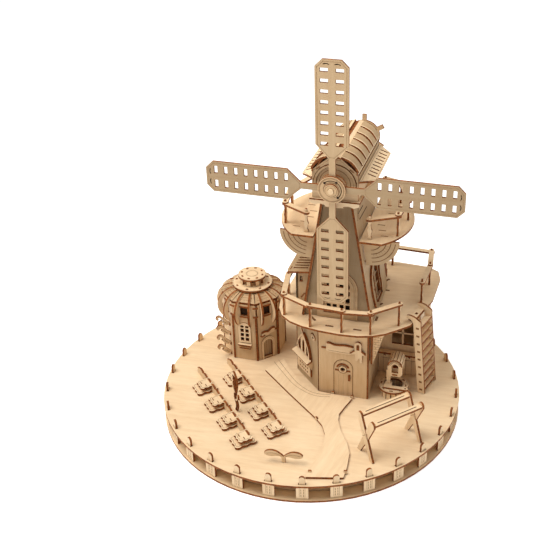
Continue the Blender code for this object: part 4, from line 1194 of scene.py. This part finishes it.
def wing_marks():
    piece = Piece("wing_marks")
    for side in (1, -1):
        inner = TOWER_X + side * 20.6
        drop = Vector((side * 12, 0, -4)).normalized()
        where = place((inner, 0, GABLE.z + 17.6), BACK, drop)
        face = inner_face(where) if side > 0 else outer_face(where)
        border = [(-2.2, 1.2), (12.6, 11.6), (69.4, 11.6), (77.6, 1.2)]
        piece.faint([closed([(-side * x, y) for x, y in border])], face)
    piece.make()


# ---------------------------------------------------------------- sails and wheel

def sails():
    piece = Piece("sail_engraving")
    front = low("sail_top").y
    for degrees in (0, 90, 180, 270):
        where = place((HUB.x, front, HUB.z), RIGHT) @ Matrix.Rotation(math.radians(degrees), 4, "Z")
        border = [(12.2, 38.6), (12.2, 104.2), (7.2, 109.2), (-7.2, 109.2), (-12.2, 104.2), (-12.2, 38.6),
                  (-2.0, 28.2)]
        piece.faint([closed(border + [(2.0, 28.2)])], where, 0.45)
        for side in (-1, 1):
            curl = smooth([(side * 2.4, 107.0), (side * 4.6, 107.6), (side * 7, 107.0)], 4)
            piece.lines([curl], where, 0.7)
    piece.make(body="sails")

    piece = Piece("hub_engraving")
    face = place((HUB.x, low("hub_front_disc").y, HUB.z), RIGHT)
    piece.lines([ring_line(10.9, 48), ring_line(10.2, 48), ring_line(6.9, 36)], face, 0.35)
    piece.lines([arc(0, 0, 8.4, -52, 136, 30)], face, 0.8)
    for angle in (60, 135, -50):
        # Painted shade: three near-black dots on the hub.
        piece.patch([circle(*polar(8.4, angle), 1.15, 14)], face, PAINTED_DEEP_SHADE, 0.06)
    cap_face = place((HUB.x, low("hub_cap_disc").y, HUB.z), RIGHT)
    piece.lines([ring_line(5.1, 28)], cap_face, 0.3)
    piece.make(body="sails")


def wheel():
    piece = Piece("wheel_engraving")
    rear = place((HUB.x, high("hand_wheel").y, HUB.z), -RIGHT)
    front = place((HUB.x, low("hand_wheel").y, HUB.z), RIGHT)
    for face in (rear, front):
        piece.lines([ring_line(13.5, 48), ring_line(4.8, 28)], face, 0.35)
    piece.make(body="sails")


# ---------------------------------------------------------------- domed house

def dome_face(index):
    """The outer face of one side of the domed house, counted anticlockwise from the front."""
    radius = 28.5 / math.cos(math.radians(22.5))
    ends = moved([polar(radius, t + 45 * index) for t in (-112.5, -67.5)], DOME.x, DOME.y)
    return facade(*ends, YARD + GAP)


DOME_HALF = 11.8


def dome_walls():
    half, tall = DOME_HALF, 63.7
    light = rect(half - 3.6, 51, half + 3.6, 60)
    piece = Piece("dome_walls")
    for index in range(2, 8):
        face = dome_face(index)
        holes = [light, arch(half, 9, 22, 40)] if index in (3, 4, 5) else [light]
        piece.sheet([rect(0.3, 0, 23.3, tall)] + holes, lifted(face, -PLY / 2), turn=True)
        if index in (3, 4, 5):
            window(piece, face, half, 9, 22, 40, 1.3)
    piece.make(replaces=["dome_walls_rear"])


def dome_trim():
    """Posts and tabs at the corners, the window, the door, the blank sign and the fronds, with near-black
    painted shade sheets behind the openings.
    """
    half = DOME_HALF
    piece = Piece("dome_trim")
    for index in range(8):
        face = dome_face(index)
        corner = face.to_translation()
        out = (Vector((corner.x, corner.y, 0)) - Vector((DOME.x, DOME.y, 0))).normalized()
        where = place(Vector((corner.x, corner.y, YARD + GAP)) - out * 0.5, out)
        piece.sheet([rect(-1.0, 0, 0.9, 51)], where, 2.0, face=EDGE)
        cross = place(Vector((corner.x, corner.y, YARD + GAP)) + out * 0.1, UP.cross(out))
        for z in (51, 61):
            piece.sheet([rect(-2.6, z - 0.7, 2.6, z + 0.7)], cross, 1.0, face=EDGE)
        for z in (49.8, 61.0):
            tab(piece, face, half, z, 8.6, 1.3, 0.9)
        piece.faint([[(2, 1), (2, 48)], [(21.6, 1), (21.6, 48)]], face, 0.25)
    # Near-black sheets behind the windows: painted shade in the openings.
    painted_shade_backs = Piece("dome_painted_shade_backs")
    for index in range(8):
        face = lifted(dome_face(index), -3.2)
        painted_shade_backs.sheet([rect(half - 4.6, 49, half + 4.6, 62)], face, 0.5, face=PAINTED_DEEP_SHADE, edge=PAINTED_DEEP_SHADE)
    face = dome_face(0)
    holes = []
    for side in (-1, 1):
        x = half + side * 2.5
        holes += [rect(x - 1.7, 22.5 + 5 * row, x + 1.7, 26.2 + 5 * row) for row in range(3)]
        holes.append(smooth_corners(rect(x - 1.7, 37.5, x + 1.7, 40), 0.6))
    piece.on([arch(half, 12.6, 20.4, 43.2)] + holes, face, 0.9, turn=True)
    # Painted shade behind the door.
    painted_shade_backs.sheet([rect(half - 5, 20, half + 5, 42)], lifted(face, -3.2), 0.5, face=PAINTED_DEEP_SHADE, edge=PAINTED_DEEP_SHADE)
    for z, reach, wide in ((18.2, 3.4, 6.8), (14.6, 2.6, 5.8)):
        sill = face @ Matrix.Translation((half, z, 0)) @ Matrix.Rotation(math.pi / 2, 4, "X")
        piece.sheet([smooth_corners(rect(-wide, 0.1, wide, reach), 0.6)], sill, 1.5)
    face = dome_face(1)
    piece.on([arch(half, 14, 0.2, 25.4), arch(half, 9.8, -0.6, 22.2)], face, 1.0)
    piece.faint([arch(half, 12, 0.4, 24.2)[1:]], lifted(face, 1.0))
    # The door's inner panel takes the painted shade face.
    piece.sheet([arch(half, 10.2, 1, 23)], lifted(face, -3.0), 0.8, face=PAINTED_SHADE, turn=True)
    piece.lines([[(half + x, 2), (half + x, 20)] for x in (-2.4, 0, 2.4)], lifted(face, -2.6), 0.3)
    sign = smooth([(5.0, 31.6), (8, 32.6), (12, 32.0), (15.4, 34.4), (19.6, 34.6)], 5)
    under = smooth([(19.0, 29.0), (15, 28.8), (12, 27.4), (8, 27.6), (4.8, 26.6)], 5)
    piece.on([sign + under], face, 1.2)
    piece.sheet([ribbon([(5.2, 31.2), (8, 32.2), (12, 31.6), (15.4, 34.0), (19.2, 34.2)], 1.1)],
                lifted(face, 1.6), 0.8, face=EDGE)
    piece.sheet([ribbon([(3.6, 28.6), (5.4, 27.4), (8.6, 28.4)], 1.2)], lifted(face, 1.4), 0.8, face=EDGE)
    tab(piece, face, 20.6, 31.4, 2.8, 1.6, 0.9)
    face = dome_face(7)
    for i in range(4):
        spot = face @ Vector((15.6, 1.6 + 11.2 * i, 0))
        out = face.to_3x3().col[2]
        where = place(spot, out)
        frond = [(-0.4, 0), (3.2, 3.6), (7.2, 8.2), (9.8, 11.4), (12.2, 12.2), (13.4, 10.4), (12.2, 8.8)]
        piece.sheet([ribbon(frond, 2.2)], where, 1.8)
        piece.sheet([ribbon([(2.6, 0.2), (6.4, 3.6), (9.2, 7.2)], 1.6)], where, 1.8)
        tab(piece, face, 15.6, 1.6 + 11.2 * i, 3.2, 2.6, 0.9)
    piece.make()
    painted_shade_backs.make()


def dome_roof():
    piece = Piece("dome_ribs_fine")
    outer = smooth([(29.8, 40), (32.6, 42.8), (34.6, 46.4), (35.9, 50.6), (36.1, 55), (35.3, 59.2),
                    (33.6, 63), (30.6, 66.6), (26.4, 69.6), (21.8, 71.0), (18, 71.2)], 3)
    inner = smooth([(18, 67), (23, 66.4), (28.2, 64.4), (30.6, 61), (31.4, 57), (31.6, 52), (31.0, 47.4),
                    (29.8, 44.2)], 3)
    rib = outer + [(13.6, 71.2), (13.6, 67)] + inner
    piece.sheet([circle(0, 0, 17, 48), circle(0, 0, 11, 32)], level(YARD + 68, DOME.x, DOME.y))
    for i in range(16):
        piece.sheet([rib], place((DOME.x, DOME.y, YARD), heading(-90 + 11.25 + 22.5 * i)), turn=True)
    for i in range(8):
        out = heading(-90 + 45 * i)
        slope = (UP * 4.3 - out * 11).normalized()
        where = place(Vector((DOME.x, DOME.y, YARD + 65.4)) + out * 28, UP.cross(out), slope)
        # The panels under the ring take the painted shade face.
        piece.sheet([[(-11.4, 0), (11.4, 0), (6.8, 11.6), (-6.8, 11.6)]], where, face=PAINTED_SHADE)
        piece.lines([[(-9 + 0.4 * z, z), (9 - 0.4 * z, z)] for z in (3, 6, 9)], outer_face(where), 0.3)
    piece.make(replaces=["dome_ribs"])


def dome_lantern():
    piece = Piece("lantern")
    top = high("dome_lantern").z
    cap_z = top - 0.4 - PLY
    disc = level(cap_z, DOME.x, DOME.y)
    piece.sheet([circle(0, 0, 13.6, 56)], disc)
    face = outer_face(disc)
    piece.faint([ring_line(5.8, 36), ring_line(5.2, 36)], face)
    piece.faint([ring_line(12.9, 48)], face, 0.2)
    for angle in EIGHTHS:
        piece.on([moved(rect(-0.8, -1.1, 0.8, 1.1), *polar(10.5, angle), angle)], face, 0.4, face=EDGE)
    ring_top = high("dome_ring_plate").z
    for angle in EIGHTHS:
        out = heading(angle)
        spot = Vector((DOME.x, DOME.y, ring_top + GAP)) + out * 10.5
        piece.sheet([rect(-1.9, 0, 1.9, cap_z - ring_top)], place(spot, UP.cross(out)))
    plate_face = flat(ring_top, DOME.x, DOME.y)
    piece.faint([ring_line(18.7, 48)], plate_face, 0.25)
    for angle in EIGHTHS:
        piece.on([moved(rect(-0.8, -1.2, 0.8, 1.2), *polar(16.4, angle), angle)], plate_face, 0.4,
                 face=EDGE)
    piece.make(replaces=["dome_lantern"])


# ---------------------------------------------------------------- stage

def stage():
    nodes = Nodes("paper")
    nodes.add("ShaderNodeOutputMaterial", {"Surface": nodes.add("ShaderNodeBsdfPrincipled", {
        "Base Color": (0.93, 0.93, 0.93, 1), "Roughness": 0.9,
        "Specular IOR Level": 0.1, "Emission Color": (1, 1, 1, 1),
        "Emission Strength": 0.62}).outputs[0]})
    mesh = bpy.data.meshes.new("floor")
    side = 9.0
    mesh.from_pydata([(-side, -side, 0), (side, -side, 0), (side, side, 0), (-side, side, 0)], [],
                     [(0, 1, 2, 3)])
    mesh.materials.append(nodes.material)
    floor = bpy.data.objects.new("floor", mesh)
    bpy.context.scene.collection.objects.link(floor)

    world = bpy.data.worlds.new("studio")
    world.use_nodes = True
    world.node_tree.nodes["Background"].inputs[0].default_value = (1.0, 0.985, 0.965, 1)
    world.node_tree.nodes["Background"].inputs[1].default_value = 0.3
    bpy.context.scene.world = world

    def area(name, spot, target, size, energy, colour):
        lamp = bpy.data.lights.new(name, "AREA")
        lamp.size = size
        lamp.energy = energy
        lamp.color = colour
        made = bpy.data.objects.new(name, lamp)
        made.location = spot
        made.rotation_euler = (Vector(target) - Vector(spot)).to_track_quat("-Z", "Y").to_euler()
        bpy.context.scene.collection.objects.link(made)

    area("key", (-0.42, -0.2, 1.05), (0, 0, 0.05), 0.7, 11.5, (1, 0.97, 0.93))
    area("fill", (0.5, 0.3, 1.3), (0, 0, 0.1), 0.9, 5, (1, 0.98, 0.96))

    camera = bpy.data.cameras.new("camera")
    camera.sensor_width = 36
    camera.lens = 64.1604
    camera.shift_x, camera.shift_y = -0.13619, -0.04508
    camera.clip_start = 0.05
    camera.clip_end = 30
    made = bpy.data.objects.new("camera", camera)
    made.location = (0.20305, -0.70304, 0.57412)
    made.rotation_euler = (math.radians(90 - 28.822), 0, math.radians(14.088))
    bpy.context.scene.collection.objects.link(made)
    bpy.context.scene.camera = made
    bpy.context.scene.view_settings.view_transform = "Standard"


dress_frame()
rim()
path_details()
crop_rows()
yard()
rack()
well()
door_wall()
corner_strips()
trellis()
gusset()
wing_front()
side_walls()
deck_details()
railings()
ladder()
tower()
balconies()
awning()
gable()
cap_skirt()
vault()
wing_marks()
sails()
wheel()
dome_walls()
dome_trim()
dome_roof()
dome_lantern()
stage()
